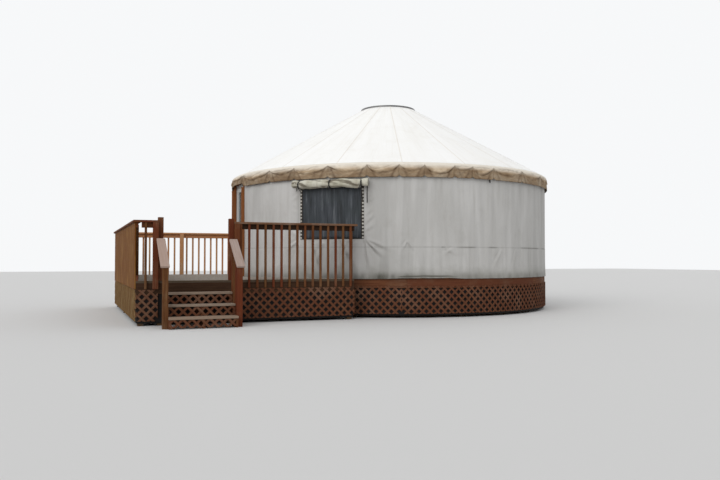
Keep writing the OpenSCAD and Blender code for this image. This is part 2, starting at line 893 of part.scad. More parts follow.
platform_posts();
platform_beams();
platform_joists();
platform_rim();
platform_floor();
skirt_third(0);  // skirt_front
skirt_third(1);  // skirt_right
skirt_third(2);  // skirt_back
deck_posts();
deck_frame();
deck_boards();
deck_skirt_front();
deck_skirt_left();
deck_skirt_back();
stair_stringers();
stair_treads();
stair_risers();
stair_rails();
rail_front_right();
rail_front_left();
rail_back();
privacy_panel();
wall_third(0);  // wall_lattice_front
wall_third(1);  // wall_lattice_right
wall_third(2);  // wall_lattice_back
tension_cable();
crown_ring();
rafters();
wall_cover_entry();
wall_cover_windows();
cover_segment(0);  // wall_cover_front
cover_segment(1);  // wall_cover_front_right
cover_segment(2);  // wall_cover_right
cover_segment(3);  // wall_cover_back_right
cover_segment(4);  // wall_cover_back
window_screens();
window_flaps();
roof_cover();
valance();
skylight_dome();
door_frame();
door_leaf();
door_glass();
door_hinges();
door_handle();
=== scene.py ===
"""Looks of a round canvas yurt on its timber platform, with an entry deck and stairs.
Lengths are in metres, and turns are angles in degrees, counted from +X round the yurt's middle."""
import math
import random

import bmesh
import bpy
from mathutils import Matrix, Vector, noise


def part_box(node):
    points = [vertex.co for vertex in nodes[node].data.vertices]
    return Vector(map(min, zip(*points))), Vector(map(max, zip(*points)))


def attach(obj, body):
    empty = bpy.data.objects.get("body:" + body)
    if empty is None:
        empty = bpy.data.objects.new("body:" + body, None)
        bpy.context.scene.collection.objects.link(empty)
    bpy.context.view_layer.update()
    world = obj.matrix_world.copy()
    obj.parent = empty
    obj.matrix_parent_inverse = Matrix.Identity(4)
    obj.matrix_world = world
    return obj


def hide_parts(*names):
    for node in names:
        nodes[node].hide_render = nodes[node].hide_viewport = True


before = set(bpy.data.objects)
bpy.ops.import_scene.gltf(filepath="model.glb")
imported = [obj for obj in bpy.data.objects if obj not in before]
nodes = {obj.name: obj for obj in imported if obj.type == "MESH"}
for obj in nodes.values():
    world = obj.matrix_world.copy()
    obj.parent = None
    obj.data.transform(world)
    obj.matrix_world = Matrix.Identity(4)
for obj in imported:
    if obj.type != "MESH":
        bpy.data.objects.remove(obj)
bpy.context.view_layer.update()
scene = bpy.context.scene


# Camera
# The eye stands low before the deck, a little to the left of the stairs, and looks towards
# the middle of the yurt and slightly up.
EYE_AT = (-7.13, -15.84, 1.10)
EYE_TURN, EYE_TILT = -22, 91.607
FILM = 36

lens = bpy.data.cameras.new("eye")
lens.lens = FILM
lens.sensor_width = FILM
eye = bpy.data.objects.new("eye", lens)
eye.location = EYE_AT
eye.rotation_euler = (math.radians(EYE_TILT), 0, math.radians(EYE_TURN))
scene.collection.objects.link(eye)
scene.camera = eye


# Light and floor
# Soft light from an even sky and one large lamp, with a weaker one opposite, over a plain pale
# floor. The camera, metal and glass see a sky that is nearly white.
SKY_STRENGTH = 0.62
SKY_SEEN = (0.93, 0.94, 0.95, 1)
FLOOR_HALF = 60
# Each lamp: its name, strength, spread and turn in degrees
LAMPS = (("key", 1.30, 50, (55, 0, -52)),
         ("fill", 0.30, 90, (60, 0, 130)))

scene.view_settings.view_transform = "Standard"


def rgb(*screen):
    """A colour written as it looks on screen, from 0 to 255."""
    red, green, blue = ((c / 255) / 12.92 if c <= 10 else ((c / 255 + 0.055) / 1.055) ** 2.4 for c in screen)
    return (red, green, blue, 1.0)


sky = bpy.data.worlds.new("sky")
scene.world = sky
sky.use_nodes = True
sky_nodes, sky_links = sky.node_tree.nodes, sky.node_tree.links
sky_nodes.clear()
sky_out = sky_nodes.new("ShaderNodeOutputWorld")
sky_mix = sky_nodes.new("ShaderNodeMixShader")
sky_light = sky_nodes.new("ShaderNodeBackground")
sky_light.inputs["Color"].default_value = rgb(250, 252, 255)
sky_light.inputs["Strength"].default_value = SKY_STRENGTH
sky_back = sky_nodes.new("ShaderNodeBackground")
sky_back.inputs["Color"].default_value = SKY_SEEN
sky_ray = sky_nodes.new("ShaderNodeLightPath")
sky_seen = sky_nodes.new("ShaderNodeMath")
sky_seen.operation = "MAXIMUM"
sky_mirrored = sky_nodes.new("ShaderNodeMath")
sky_mirrored.operation = "MAXIMUM"
for source, target in ((sky_ray.outputs["Is Glossy Ray"], sky_mirrored.inputs[0]),
                       (sky_ray.outputs["Is Transmission Ray"], sky_mirrored.inputs[1]),
                       (sky_ray.outputs["Is Camera Ray"], sky_seen.inputs[0]),
                       (sky_mirrored.outputs[0], sky_seen.inputs[1]),
                       (sky_seen.outputs[0], sky_mix.inputs[0]),
                       (sky_light.outputs[0], sky_mix.inputs[1]),
                       (sky_back.outputs[0], sky_mix.inputs[2]),
                       (sky_mix.outputs[0], sky_out.inputs[0])):
    sky_links.new(source, target)

for lamp_name, strength, spread, turn in LAMPS:
    lamp = bpy.data.lights.new(lamp_name, "SUN")
    lamp.energy = strength
    lamp.angle = math.radians(spread)
    lamp_stand = bpy.data.objects.new(lamp_name, lamp)
    lamp_stand.rotation_euler = [math.radians(t) for t in turn]
    scene.collection.objects.link(lamp_stand)

floor_mesh = bpy.data.meshes.new("pale_floor")
floor_corners = [(x * FLOOR_HALF, y * FLOOR_HALF, 0) for x, y in ((-1, -1), (1, -1), (1, 1), (-1, 1))]
floor_mesh.from_pydata(floor_corners, [], [(0, 1, 2, 3)])
pale_floor = bpy.data.objects.new("pale_floor", floor_mesh)
scene.collection.objects.link(pale_floor)
floor_paint = bpy.data.materials.new("pale_floor")
floor_paint.use_nodes = True
floor_shader = floor_paint.node_tree.nodes["Principled BSDF"]
floor_shader.inputs["Base Color"].default_value = rgb(214, 213, 211)
floor_shader.inputs["Roughness"].default_value = 0.9
floor_mesh.materials.append(floor_paint)


# Platform under the floor
# Bare softwood posts, doubled beams and joists carry a round plywood floor inside the rim.
# They are sawn lumber, nailed and bolted, and lie hidden behind the skirts.
SAWN_EASE = 0.003


class Finish:
    """A node material that is built up a step at a time."""

    def __init__(self, name, rough, colour):
        self.material = bpy.data.materials.new(name)
        self.material.use_nodes = True
        self.tree = self.material.node_tree
        self.shader = self.tree.nodes["Principled BSDF"]
        self.shader.inputs["Roughness"].default_value = rough
        self.shader.inputs["Base Color"].default_value = colour

    def add(self, kind, inputs=None, **settings):
        node = self.tree.nodes.new(kind)
        for key, value in settings.items():
            setattr(node, key, value)
        for key, value in (inputs or {}).items():
            self.feed(value, node.inputs[key])
        return node

    def feed(self, value, socket):
        """Links an output to a socket, or sets the socket to a value."""
        if isinstance(value, bpy.types.NodeSocket):
            self.tree.links.new(value, socket)
        else:
            socket.default_value = value

    def scaled(self, where, scale):
        return self.add("ShaderNodeMapping", {"Vector": where, "Scale": scale}).outputs[0]

    def place(self, scale=(1, 1, 1)):
        """A point on the piece, in metres times a scale."""
        return self.scaled(self.add("ShaderNodeTexCoord").outputs["Object"], scale)

    def mark(self, name):
        """What a mesh keeps at each corner under a name."""
        return self.add("ShaderNodeAttribute", attribute_name=name).outputs["Vector"]

    def part(self, where, axis):
        return self.add("ShaderNodeSeparateXYZ", {"Vector": where}).outputs[axis]

    def noise(self, where, scale=1.0, detail=4.0, rough=0.55, twist=0.0):
        return self.add("ShaderNodeTexNoise", {"Vector": where, "Scale": scale, "Detail": detail,
                                               "Roughness": rough, "Distortion": twist}).outputs["Fac"]

    def threads(self, where, count):
        """Over and under squares of a plain weave, as many threads to the metre as count."""
        squares = self.scaled(where, (count, count, 0))
        return self.add("ShaderNodeTexChecker", {"Vector": squares, "Scale": 1.0}).outputs["Fac"]

    def ramp(self, fac, *stops):
        node = self.add("ShaderNodeValToRGB", {"Fac": fac})
        ends = node.color_ramp.elements
        while len(ends) < len(stops):
            ends.new(0.5)
        for end, (at, colour) in zip(ends, stops):
            end.position = at
            end.color = colour if hasattr(colour, "__len__") else (colour, colour, colour, 1)
        return node.outputs["Color"]

    def mix(self, fac, a, b):
        node = self.add("ShaderNodeMix", data_type="RGBA")
        for value, socket in ((fac, node.inputs[0]), (a, node.inputs[6]), (b, node.inputs[7])):
            self.feed(value, socket)
        return node.outputs[2]

    def sum(self, how, a, b):
        return self.add("ShaderNodeMath", {0: a, 1: b}, operation=how).outputs[0]

    def paint(self, colour):
        self.feed(colour, self.shader.inputs["Base Color"])

    def relief(self, height, depth, strength=1.0):
        bump = self.add("ShaderNodeBump", {"Height": height, "Distance": depth, "Strength": strength})
        self.feed(bump.outputs[0], self.shader.inputs["Normal"])

    def gloss(self, fac, low, high):
        self.feed(self.ramp(fac, (0, low), (1, high)), self.shader.inputs["Roughness"])


def timber(name, pale, deep, other, rough=0.75, along=None, worn=None):
    """Sawn wood: grain along each board, a tone of its own for every board, and wear in patches.
    along is the axis of the grain where the piece is a solid without boards of its own."""
    wood = Finish(name, rough, pale)
    wood.shader.inputs["Specular IOR Level"].default_value = 0.05
    if along is None:
        board = wood.mark("board")
        fine, bands = wood.scaled(board, (3.0, 95.0, 11.7)), wood.scaled(board, (0.9, 22.0, 5.3))
        number = wood.scaled(board, (0, 0, 1))
        tone = wood.add("ShaderNodeTexWhiteNoise", {"Vector": number}, noise_dimensions="3D").outputs["Value"]
    else:
        fine, bands, planks = (wood.place([with_it if axis == along else across for axis in range(3)])
                               for with_it, across in ((3.0, 95.0), (0.9, 14.0), (0.2, 3.3)))
        tone = wood.noise(planks, 1, 1)
    lines = wood.noise(fine, 1, 5, 0.65, 0.2)
    broad = wood.noise(bands, 1, 3, 0.5, 0.6)
    colour = wood.mix(wood.ramp(lines, (0.32, 0), (0.72, 1)), deep, pale)
    colour = wood.mix(wood.ramp(broad, (0.40, 0), (0.75, 0.55)), colour, deep)
    colour = wood.mix(wood.ramp(tone, (0.15, 0), (0.9, 1)), colour, wood.mix(0.75, colour, other))
    if worn is not None:
        patches = wood.noise(wood.place((1.7, 1.7, 1.7)), 1, 6, 0.6)
        edge = wood.sum("MULTIPLY", wood.ramp(patches, (0.5, 0), (0.66, 0.85)),
                        wood.ramp(lines, (0.4, 0.2), (0.7, 1)))
        colour = wood.mix(edge, colour, worn)
    wood.paint(colour)
    wood.gloss(lines, min(rough + 0.12, 1), rough - 0.1)
    wood.relief(lines, 0.0012)
    return wood.material


def dress(node, material, ease=0.0):
    """Gives a carried-over solid its finish, and eases its sharp edges."""
    piece = nodes[node]
    piece.data.materials.clear()
    piece.data.materials.append(material)
    if ease:
        edge = piece.modifiers.new("eased_edges", "BEVEL")
        edge.width = ease
        edge.segments = 1
        edge.limit_method = "ANGLE"
        edge.angle_limit = math.radians(40)
        edge.use_clamp_overlap = True


SOFT_WOOD = dict(pale=rgb(200, 170, 128), deep=rgb(160, 124, 84), other=rgb(186, 150, 108))
AGED_WOOD = dict(pale=rgb(104, 84, 62), deep=rgb(68, 52, 38), other=rgb(90, 70, 52))
for node, grain in (("platform_beams", 1), ("platform_joists", 0)):
    dress(node, timber("sawn_" + node, along=grain, **SOFT_WOOD), SAWN_EASE)
for node in ("platform_posts", "deck_posts"):
    dress(node, timber("aged_" + node, along=2, **AGED_WOOD), SAWN_EASE)

plywood = Finish("plywood_floor", 0.6, rgb(205, 178, 134))
veneer = plywood.noise(plywood.place((2.0, 26.0, 26.0)), 1, 6, 0.6, 0.8)
plywood.paint(plywood.ramp(veneer, (0.3, rgb(172, 138, 92)), (0.55, rgb(206, 176, 130)),
                           (0.8, rgb(219, 193, 150))))
plywood.relief(veneer, 0.0006)
dress("platform_floor", plywood.material, 0.002)


# Rim boards
# Long boards bent round the joists, stained orange-brown and butted end to end.
# They are nailed to the joists' ends, and the wall cover's hem hangs over their top edge.


def box_of(node):
    """A solid's lowest and highest corners, to a tenth of a millimetre."""
    return [[round(c, 4) for c in corner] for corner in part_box(node)]


(_, _, RIM_LOW), (RIM_R, _, FLOOR_Z) = box_of("platform_rim")
RIM_THICK, RIM_EASE = 0.038, 0.003
RIM_BOARDS, RIM_BENDS = 7, 36
RIM_START, RIM_BUTT = 200, 0.05

STAIN = dict(pale=rgb(136, 92, 60), deep=rgb(68, 42, 28), other=rgb(96, 54, 38), rough=0.7)
stained = timber("stained_boards", worn=rgb(116, 92, 74), **STAIN)


class Lumber:
    """Boards that are gathered into one piece, each with its own grain and tone."""

    def __init__(self):
        self.corners, self.faces, self.grain, self.count = [], [], [], 0

    def loft(self, rings, tone=None):
        """A board whose section changes along it, given as rings of points."""
        first, around, along = len(self.corners), [0.0], [0.0]
        n = len(rings[0])
        self.count += 1
        tone = self.count if tone is None else tone
        for a, b in zip(rings[0], rings[0][1:] + rings[0][:1]):
            around.append(around[-1] + (Vector(a) - Vector(b)).length)
        for a, b in zip(rings, rings[1:]):
            along.append(along[-1] + (Vector(a[0]) - Vector(b[0])).length)
        for ring in rings:
            self.corners += [tuple(p) for p in ring]
        for j in range(len(rings) - 1):
            for i in range(n):
                k = (i + 1) % n
                self.faces.append([first + j * n + i, first + j * n + k,
                                   first + (j + 1) * n + k, first + (j + 1) * n + i])
                self.grain += [(along[j], around[i], tone), (along[j], around[i + 1], tone),
                               (along[j + 1], around[i + 1], tone), (along[j + 1], around[i], tone)]
        for j, order in ((0, range(n - 1, -1, -1)), (len(rings) - 1, range(n))):
            self.faces.append([first + j * n + i for i in order])
            self.grain += [(along[j] + around[i] * 0.2, around[i], tone) for i in order]

    def board(self, a, b, wide, thick, side, ease=0.003):
        """A straight board between the middles of its ends, with its width along side."""
        a, b, side = Vector(a), Vector(b), Vector(side).normalized()
        run = (b - a).normalized()
        flat = run.cross(side).normalized()
        ease = min(ease, thick / 2 * 0.6)
        rings = []
        for end, inset in ((a, 0.6 * ease), (a + run * 0.6 * ease, 0),
                           (b - run * 0.6 * ease, 0), (b, 0.6 * ease)):
            narrow, thin = 1 - inset / (wide / 2), 1 - inset / (thick / 2)
            rings.append([end + side * x * narrow + flat * y * thin for x, y in eased(wide, thick, ease)])
        self.loft(rings)

    def piece(self, name, material, slot_name, *replaced):
        """The boards as one piece of the model, in place of the solids that it names."""
        mesh = bpy.data.meshes.new(name)
        mesh.from_pydata(self.corners, [], self.faces)
        marks = mesh.attributes.new("board", "FLOAT_VECTOR", "CORNER")
        marks.data.foreach_set("vector", [c for g in self.grain for c in g])
        mesh.materials.append(material)
        mesh.validate()
        made = bpy.data.objects.new(name, mesh)
        scene.collection.objects.link(made)
        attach(made, "building")
        if replaced:
            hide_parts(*replaced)
        return made


def eased(wide, thick, ease):
    """The section of a board round its middle, with its four edges eased."""
    w, t = wide / 2, thick / 2
    return [(-w + ease, -t), (w - ease, -t), (w, -t + ease), (w, t - ease),
            (w - ease, t), (-w + ease, t), (-w, t - ease), (-w, -t + ease)]


def polar(r, degrees, z=0.0):
    return Vector((r * math.cos(math.radians(degrees)), r * math.sin(math.radians(degrees)), z))


rim_boards = Lumber()
rim_section = [(RIM_R - RIM_THICK, RIM_LOW), (RIM_R - RIM_EASE, RIM_LOW), (RIM_R, RIM_LOW + RIM_EASE),
               (RIM_R, FLOOR_Z - RIM_EASE), (RIM_R - RIM_EASE, FLOOR_Z), (RIM_R - RIM_THICK, FLOOR_Z)]
for k in range(RIM_BOARDS):
    turn_from = RIM_START + k * 360 / RIM_BOARDS
    turn_to = turn_from + 360 / RIM_BOARDS - RIM_BUTT
    turns = [turn_from + (turn_to - turn_from) * i / RIM_BENDS for i in range(RIM_BENDS + 1)]
    rim_boards.loft([[polar(r, turn, z) for r, z in rim_section] for turn in turns])
rim_boards.piece("rim_boards", stained, "stained_wood", "platform_rim")


# Lattice skirts
# Two layers of thin slats, stapled where they cross, in panels that are bent round the
# platform and nailed flat along the deck. The stain is worn and each slat has faded by itself.
DIAMOND = 0.145
SLAT_WIDE, SLAT_THICK = 0.038, 0.008
SKIRT_LOW, SKIRT_HIGH = (corner[2] for corner in box_of("skirt_front"))
SKIRT_R = RIM_R + 0.0003
RIM_CLEAR, PANEL_GAP, BENDING = 0.0163, 0.004, 0.12
SKIRT_SEED = 7
# Panel joints, as angles round the platform, where the diamonds start afresh
JOINTS = [234.2, 249.9, 273.4, 302.8, 331.0, 359.2, 387.4, 415.6, 443.8, 472.0, 501.8]
(DECK_LEFT, DECK_FRONT, _), (DECK_RIGHT, DECK_BACK, _) = box_of("deck_boards")
POST, FIT = 0.089, 0.0003
STAIR_LEFT = round(box_of("stair_treads")[0][0] - FIT, 4)
STAIR_RIGHT = round(box_of("stair_treads")[1][0] + FIT, 4)

faded = timber("faded_slats", rgb(128, 86, 62), rgb(76, 48, 34), rgb(98, 60, 44), 0.8, worn=rgb(132, 106, 88))
# Paler slats for the left skirt. Their darkest tone is in part painted shade, for the openings and slat sides
# that are hidden when the lattice is seen edge on.
pale_left_slats = timber("left_skirt_slats", rgb(196, 166, 120), rgb(108, 80, 46), rgb(122, 86, 52), 0.8)


def cut_between(foot, head, left, right):
    """The shares of a slat's edge, from foot to head, at which it enters and leaves the panel."""
    start, end = 0.0, 1.0
    for at_foot, at_head in ((foot - left, head - left), (right - foot, right - head)):
        if at_foot < 0 and at_head < 0:
            return 1.0, 0.0
        if at_foot < 0:
            start = max(start, at_foot / (at_foot - at_head))
        elif at_head < 0:
            end = min(end, at_foot / (at_foot - at_head))
    return start, end


def slats(lumber, low, high, place, shift=0.0, bend=9):
    """Both layers of a lattice over a rectangle; place turns (along, up, out) into a point."""
    (left, bottom), (right, top) = low, high
    half = SLAT_WIDE / 2 * math.sqrt(2)
    reach = top - bottom
    for layer, lean in enumerate((1, -1)):
        out = layer * SLAT_THICK
        for k in range(-1, int((right - left + reach) / DIAMOND) + 3):
            middle = left + shift + k * DIAMOND - (reach if lean > 0 else 0)
            edges = []
            for foot in (middle - half, middle + half):
                start, end = cut_between(foot, foot + lean * reach, left, right)
                if end - start > 0.03:
                    edges.append([(foot + lean * reach * t, bottom + reach * t) for t in (start, end)])
            if len(edges) < 2:
                continue
            bends = max(1, math.ceil(abs(edges[0][1][0] - edges[0][0][0]) / bend))
            rings = []
            for j in range(bends + 1):
                (s0, z0), (s1, z1) = ([a + (b - a) * (j / bends) for a, b in zip(*edge)] for edge in edges)
                rings.append([place(s0, z0, out), place(s1, z1, out),
                              place(s1, z1, out + SLAT_THICK), place(s0, z0, out + SLAT_THICK)])
            lumber.loft(rings, random.random() * 50)


def circle_x(y, r=RIM_R):
    return math.sqrt(max(r * r - y * y, 0))


random.seed(SKIRT_SEED)
round_skirt = Lumber()
for start, end in zip(JOINTS, JOINTS[1:]):
    slats(round_skirt, (math.radians(start) * SKIRT_R, SKIRT_LOW),
          (math.radians(end) * SKIRT_R - PANEL_GAP, SKIRT_HIGH),
          lambda s, z, out: polar(SKIRT_R + out, math.degrees(s / SKIRT_R), z),
          shift=random.random() * DIAMOND, bend=BENDING)
round_skirt.piece("round_skirt", faded, "stained_wood", "skirt_front", "skirt_right", "skirt_back")

deck_skirt, left_skirt = Lumber(), Lumber()
back_end = -circle_x(DECK_BACK) - RIM_CLEAR
corner_end = -circle_x(DECK_RIGHT) - RIM_CLEAR
for x0, x1 in ((DECK_LEFT, STAIR_LEFT - POST - FIT), (STAIR_RIGHT + POST + FIT, DECK_RIGHT)):
    slats(deck_skirt, (x0, SKIRT_LOW), (x1, SKIRT_HIGH), lambda s, z, out: Vector((s, DECK_FRONT - out, z)))
slats(deck_skirt, (DECK_FRONT, SKIRT_LOW), (corner_end, SKIRT_HIGH),
      lambda s, z, out: Vector((DECK_RIGHT + out, s, z)))
slats(left_skirt, (DECK_FRONT, SKIRT_LOW), (DECK_BACK, SKIRT_HIGH),
      lambda s, z, out: Vector((DECK_LEFT - out, s, z)))
left_skirt.piece("left_skirt", pale_left_slats, "stained_wood", "deck_skirt_left")
slats(deck_skirt, (DECK_LEFT, SKIRT_LOW), (back_end, SKIRT_HIGH),
      lambda s, z, out: Vector((s, DECK_BACK + out, z)))
deck_skirt.piece("deck_skirt", faded, "stained_wood", "deck_skirt_front", "deck_skirt_back")


# Dark cloth behind the skirts, as painted shade
# A near-black woven cloth is stapled up behind the lattice, in one length along each side, as
# painted shade for the dark space under the platform.
# It hangs with slack folds that close towards its upper edge.
LINER_LOW, LINER_HIGH, LINER_IN = 0.045, 0.560, 0.016
LINER_SLACK, LINER_GRID = 0.010, 0.06
FREE_END_IN, CORNER_IN, WALL_IN, ROUND_LAP = 0.02, 0.05, 0.03, 1.0


def bell(x, width):
    return math.exp(-(x / width) ** 2)


def ease_in(x, start, end):
    """0 before start, 1 after end, and a smooth rise between them."""
    t = min(max((x - start) / (end - start), 0.0), 1.0)
    return t * t * (3 - 2 * t)


def even(count):
    return [k / count for k in range(count + 1)]


def soft_noise(x, y, seed, octaves=3):
    return noise.fractal(Vector((x, y, seed)), 1.0, 2.0, octaves)


class Cloth:
    """A woven sheet on a grid, which keeps each point's place in the flat cloth and how dark it is
    made there, by soil and by painted shade.
    """

    def __init__(self, across, up, place, flat, closed=False, keep=None, soil_and_shade=None):
        wide, high = flat
        wrap = len(across) - 1 if closed else len(across)
        self.corners = [tuple(place(u, v)) for v in up for u in across[:wrap]]
        marks = [soil_and_shade(u, v) if soil_and_shade else 0.0 for v in up for u in across[:wrap]]
        self.faces, self.weave = [], []
        for j, (v0, v1) in enumerate(zip(up, up[1:])):
            for i, (u0, u1) in enumerate(zip(across, across[1:])):
                if keep and not keep((u0 + u1) / 2, (v0 + v1) / 2):
                    continue
                k = (i + 1) % wrap
                face = (j * wrap + i, j * wrap + k, (j + 1) * wrap + k, (j + 1) * wrap + i)
                self.faces.append(face)
                self.weave += [(u * wide, v * high, marks[n]) for n, (u, v) in
                               zip(face, ((u0, v0), (u1, v0), (u1, v1), (u0, v1)))]

    def piece(self, name, material, slot_name, *replaced, thick=0.0012):
        """The sheet as one piece of the model, in place of the solids that it names."""
        mesh = bpy.data.meshes.new(name)
        mesh.from_pydata(self.corners, [], self.faces)
        marks = mesh.attributes.new("weave", "FLOAT_VECTOR", "CORNER")
        marks.data.foreach_set("vector", [c for w in self.weave for c in w])
        mesh.polygons.foreach_set("use_smooth", [True] * len(mesh.polygons))
        mesh.materials.append(material)
        mesh.validate()
        made = bpy.data.objects.new(name, mesh)
        scene.collection.objects.link(made)
        grid = bmesh.new()
        grid.from_mesh(mesh)
        bmesh.ops.delete(grid, geom=[v for v in grid.verts if not v.link_faces], context="VERTS")
        grid.to_mesh(mesh)
        grid.free()
        skin = made.modifiers.new("cloth_thickness", "SOLIDIFY")
        skin.thickness = thick
        skin.offset = 0
        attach(made, "building")
        if replaced:
            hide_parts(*replaced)
        return made


# Its near-black colour is painted shade for the space under the platform.
painted_shade_liner = Finish("painted_shade_liner_cloth", 0.95, rgb(26, 20, 17))
liner_dust = painted_shade_liner.noise(painted_shade_liner.place((1.4, 1.4, 3.0)), 1, 6, 0.6)
painted_shade_liner.paint(painted_shade_liner.ramp(liner_dust, (0.35, rgb(13, 9, 8)), (0.7, rgb(30, 22, 18))))
painted_shade_liner.relief(painted_shade_liner.noise(painted_shade_liner.place((240, 240, 240)), 1, 2), 0.0006)


def hang_liner(name, start, end, place):
    """A length of ground cloth between two places along the lattice."""
    long, high = abs(end - start), LINER_HIGH - LINER_LOW

    def point(u, v):
        s = start + (end - start) * u
        slack = LINER_SLACK * (0.5 + 0.5 * soft_noise(s * 3.0, v * 1.2, 12.5)) * (1 - v * 0.8)
        return place(s, LINER_IN + slack, LINER_LOW + high * v)

    sheet = Cloth(even(max(int(long / LINER_GRID), 4)), even(8), point, (long, high))
    sheet = sheet.piece(name, painted_shade_liner.material, "insect_mesh")


round_run = SKIRT_R - LINER_IN
round_from, round_to = JOINTS[0] - ROUND_LAP, JOINTS[-1] + ROUND_LAP
hang_liner("round_liner", math.radians(round_from) * round_run, math.radians(round_to) * round_run,
           lambda s, inward, z: polar(SKIRT_R - inward, math.degrees(s / round_run), z))
hang_liner("front_liner", DECK_LEFT + FREE_END_IN, DECK_RIGHT - FREE_END_IN,
           lambda s, inward, z: Vector((s, DECK_FRONT + inward, z)))
hang_liner("left_liner", DECK_FRONT + CORNER_IN, DECK_BACK - CORNER_IN,
           lambda s, inward, z: Vector((DECK_LEFT + inward, s, z)))
hang_liner("back_liner", DECK_LEFT + FREE_END_IN, back_end - WALL_IN,
           lambda s, inward, z: Vector((s, DECK_BACK - inward, z)))
hang_liner("corner_liner", DECK_FRONT + CORNER_IN, -circle_x(DECK_RIGHT) - WALL_IN,
           lambda s, inward, z: Vector((DECK_RIGHT - inward, s, z)))


# Deck
# Rim boards and joists of stained lumber on posts, with boards nailed across them.
# The boards are bare, weathered grey, and scribed to the round wall with a small gap.
BOARD, BOARD_GAP, BOARD_EASE = 0.140, 0.0051, 0.004
DECK_THICK, SCRIBE_R = 0.038, 3.668

deck_lumber = timber("deck_frame_lumber", rgb(86, 66, 48), rgb(46, 34, 26), rgb(70, 46, 34), along=0)
dress("deck_frame", deck_lumber, 0.002)
weathered = timber("weathered_boards", rgb(180, 174, 166), rgb(116, 108, 100), rgb(158, 146, 132), 0.85)
# The board along the front edge is coloured darker than the rest of the deck.
darker_edge_wood = timber("darker_edge_board", rgb(112, 98, 84), rgb(66, 56, 46), rgb(90, 76, 62), 0.85)

deck_boards, edge_board = Lumber(), Lumber()
board_y = DECK_FRONT
while board_y < DECK_BACK - 0.03:
    far_y = min(board_y + BOARD, DECK_BACK)
    low, high = BOARD_EASE, DECK_THICK - BOARD_EASE
    section = [(board_y + low, 0), (far_y - low, 0), (far_y, low), (far_y, high),
               (far_y - low, DECK_THICK), (board_y + low, DECK_THICK), (board_y, high), (board_y, low)]
    board = deck_boards if board_y > DECK_FRONT else edge_board
    under = FLOOR_Z - DECK_THICK
    board.loft([[Vector((DECK_LEFT, y, under + z)) for y, z in section],
                [Vector((min(DECK_RIGHT, -circle_x(y, SCRIBE_R)), y, under + z)) for y, z in section]])
    board_y += BOARD + BOARD_GAP
deck_boards.piece("deck_boards_laid", weathered, "weathered_wood", "deck_boards")
edge_board.piece("deck_edge_board", darker_edge_wood, "weathered_wood")


# Stairs
# Notched boards carry three treads of two boards each, closed with lattice under each tread.
# The treads are bare and weathered like the deck.
RISE, GOING, NOSING = 0.188, 0.254, 0.025
TREADS, TREAD_GAP, TREAD_EASE = 3, 0.005, 0.005
STAIR_Y = DECK_FRONT - 2 * SLAT_THICK
RISER_FOOT, RISER_SHIFT = 0.020, 0.02

dress("stair_stringers", timber("stringer_lumber", along=1, **STAIN), 0.003)
tread_wood = timber("tread_wood", rgb(170, 156, 142), rgb(112, 98, 86), rgb(144, 122, 104), 0.9)

treads, risers = Lumber(), Lumber()
for k in range(1, TREADS + 1):
    front = STAIR_Y - k * GOING - NOSING
    back = STAIR_Y - (k - 1) * GOING - (0 if k == 1 else RIM_CLEAR)
    top = (TREADS + 1 - k) * RISE
    middle = top - DECK_THICK / 2
    half = (back - front - TREAD_GAP) / 2
    for y in (front + half / 2, front + half / 2 + half + TREAD_GAP):
        treads.board((STAIR_LEFT + FIT, y, middle), (STAIR_RIGHT - FIT, y, middle),
                     half, DECK_THICK, (0, 1, 0), TREAD_EASE)
    low = RISER_FOOT if k == TREADS else (TREADS - k) * RISE
    slats(risers, (STAIR_LEFT + FIT, low), (STAIR_RIGHT - FIT, top - DECK_THICK),
          lambda s, z, out, y=STAIR_Y - k * GOING: Vector((s, y - out, z)), shift=RISER_SHIFT * k)
treads.piece("tread_boards", tread_wood, "weathered_wood", "stair_treads")
risers.piece("riser_lattice", faded, "stained_wood", "stair_risers")


# Railings
# Square balusters screwed to the outside of the deck under a wide flat cap, with posts, and a
# newel on each side at the head of the stairs. Each took the stain its own way, orange or red.
THICK, CAP_WIDE, CAP_OUT, CAP_EASE = 0.038, 0.140, 0.050, 0.006
CAP_HIGH = box_of("rail_back")[1][2]
CAP_LOW = round(CAP_HIGH - THICK, 4)
CAP_MIDDLE = (CAP_LOW + CAP_HIGH) / 2
UNDER_HIGH = 0.089
UNDER_MIDDLE = CAP_LOW - UNDER_HIGH / 2
BALUSTER, PITCH, INSET = 0.038, 0.147, 0.008
BALUSTER_LOW = box_of("rail_back")[0][2]
POST_EASE, NEWEL_HIGH, NEWEL_EASE = 0.004, box_of("rail_front_left")[1][2], 0.006
RETURN_LONG, RETURN_BALUSTER, RETURN_FIT = 0.2596, 0.180, 0.0005
CORNER_LAP = 0.037
ALONG_X, ALONG_Y, UP = Vector((1, 0, 0)), Vector((0, 1, 0)), Vector((0, 0, 1))

rail_wood = timber("rail_wood", rgb(128, 92, 56), rgb(72, 42, 24), rgb(100, 44, 30), 0.7,
                   worn=rgb(126, 102, 78))
# The back railing's wood is paler than the other rails: painted light, for light falling on its inner side
# under the cap.
painted_light_back_wood = timber("back_rail_painted_light", rgb(226, 184, 136), rgb(172, 124, 82), rgb(196, 132, 90), 0.7,
                   worn=rgb(196, 170, 140))
cap_wood = timber("cap_wood", rgb(134, 104, 78), rgb(84, 60, 44), rgb(120, 84, 62), 0.75,
                  worn=rgb(158, 148, 138))
# The front right railing's under rail is coloured very dark: painted shade under the cap's overhang.
painted_shade_wood = timber("under_rail_painted_shade", rgb(66, 48, 34), rgb(34, 25, 19), rgb(52, 34, 25), 0.8)


def upright(lumber, x, y, low, high, size, ease=0.003, side=ALONG_X):
    """A square post or baluster round a middle line."""
    lumber.board((x, y, low), (x, y, high), size, size, side, ease)


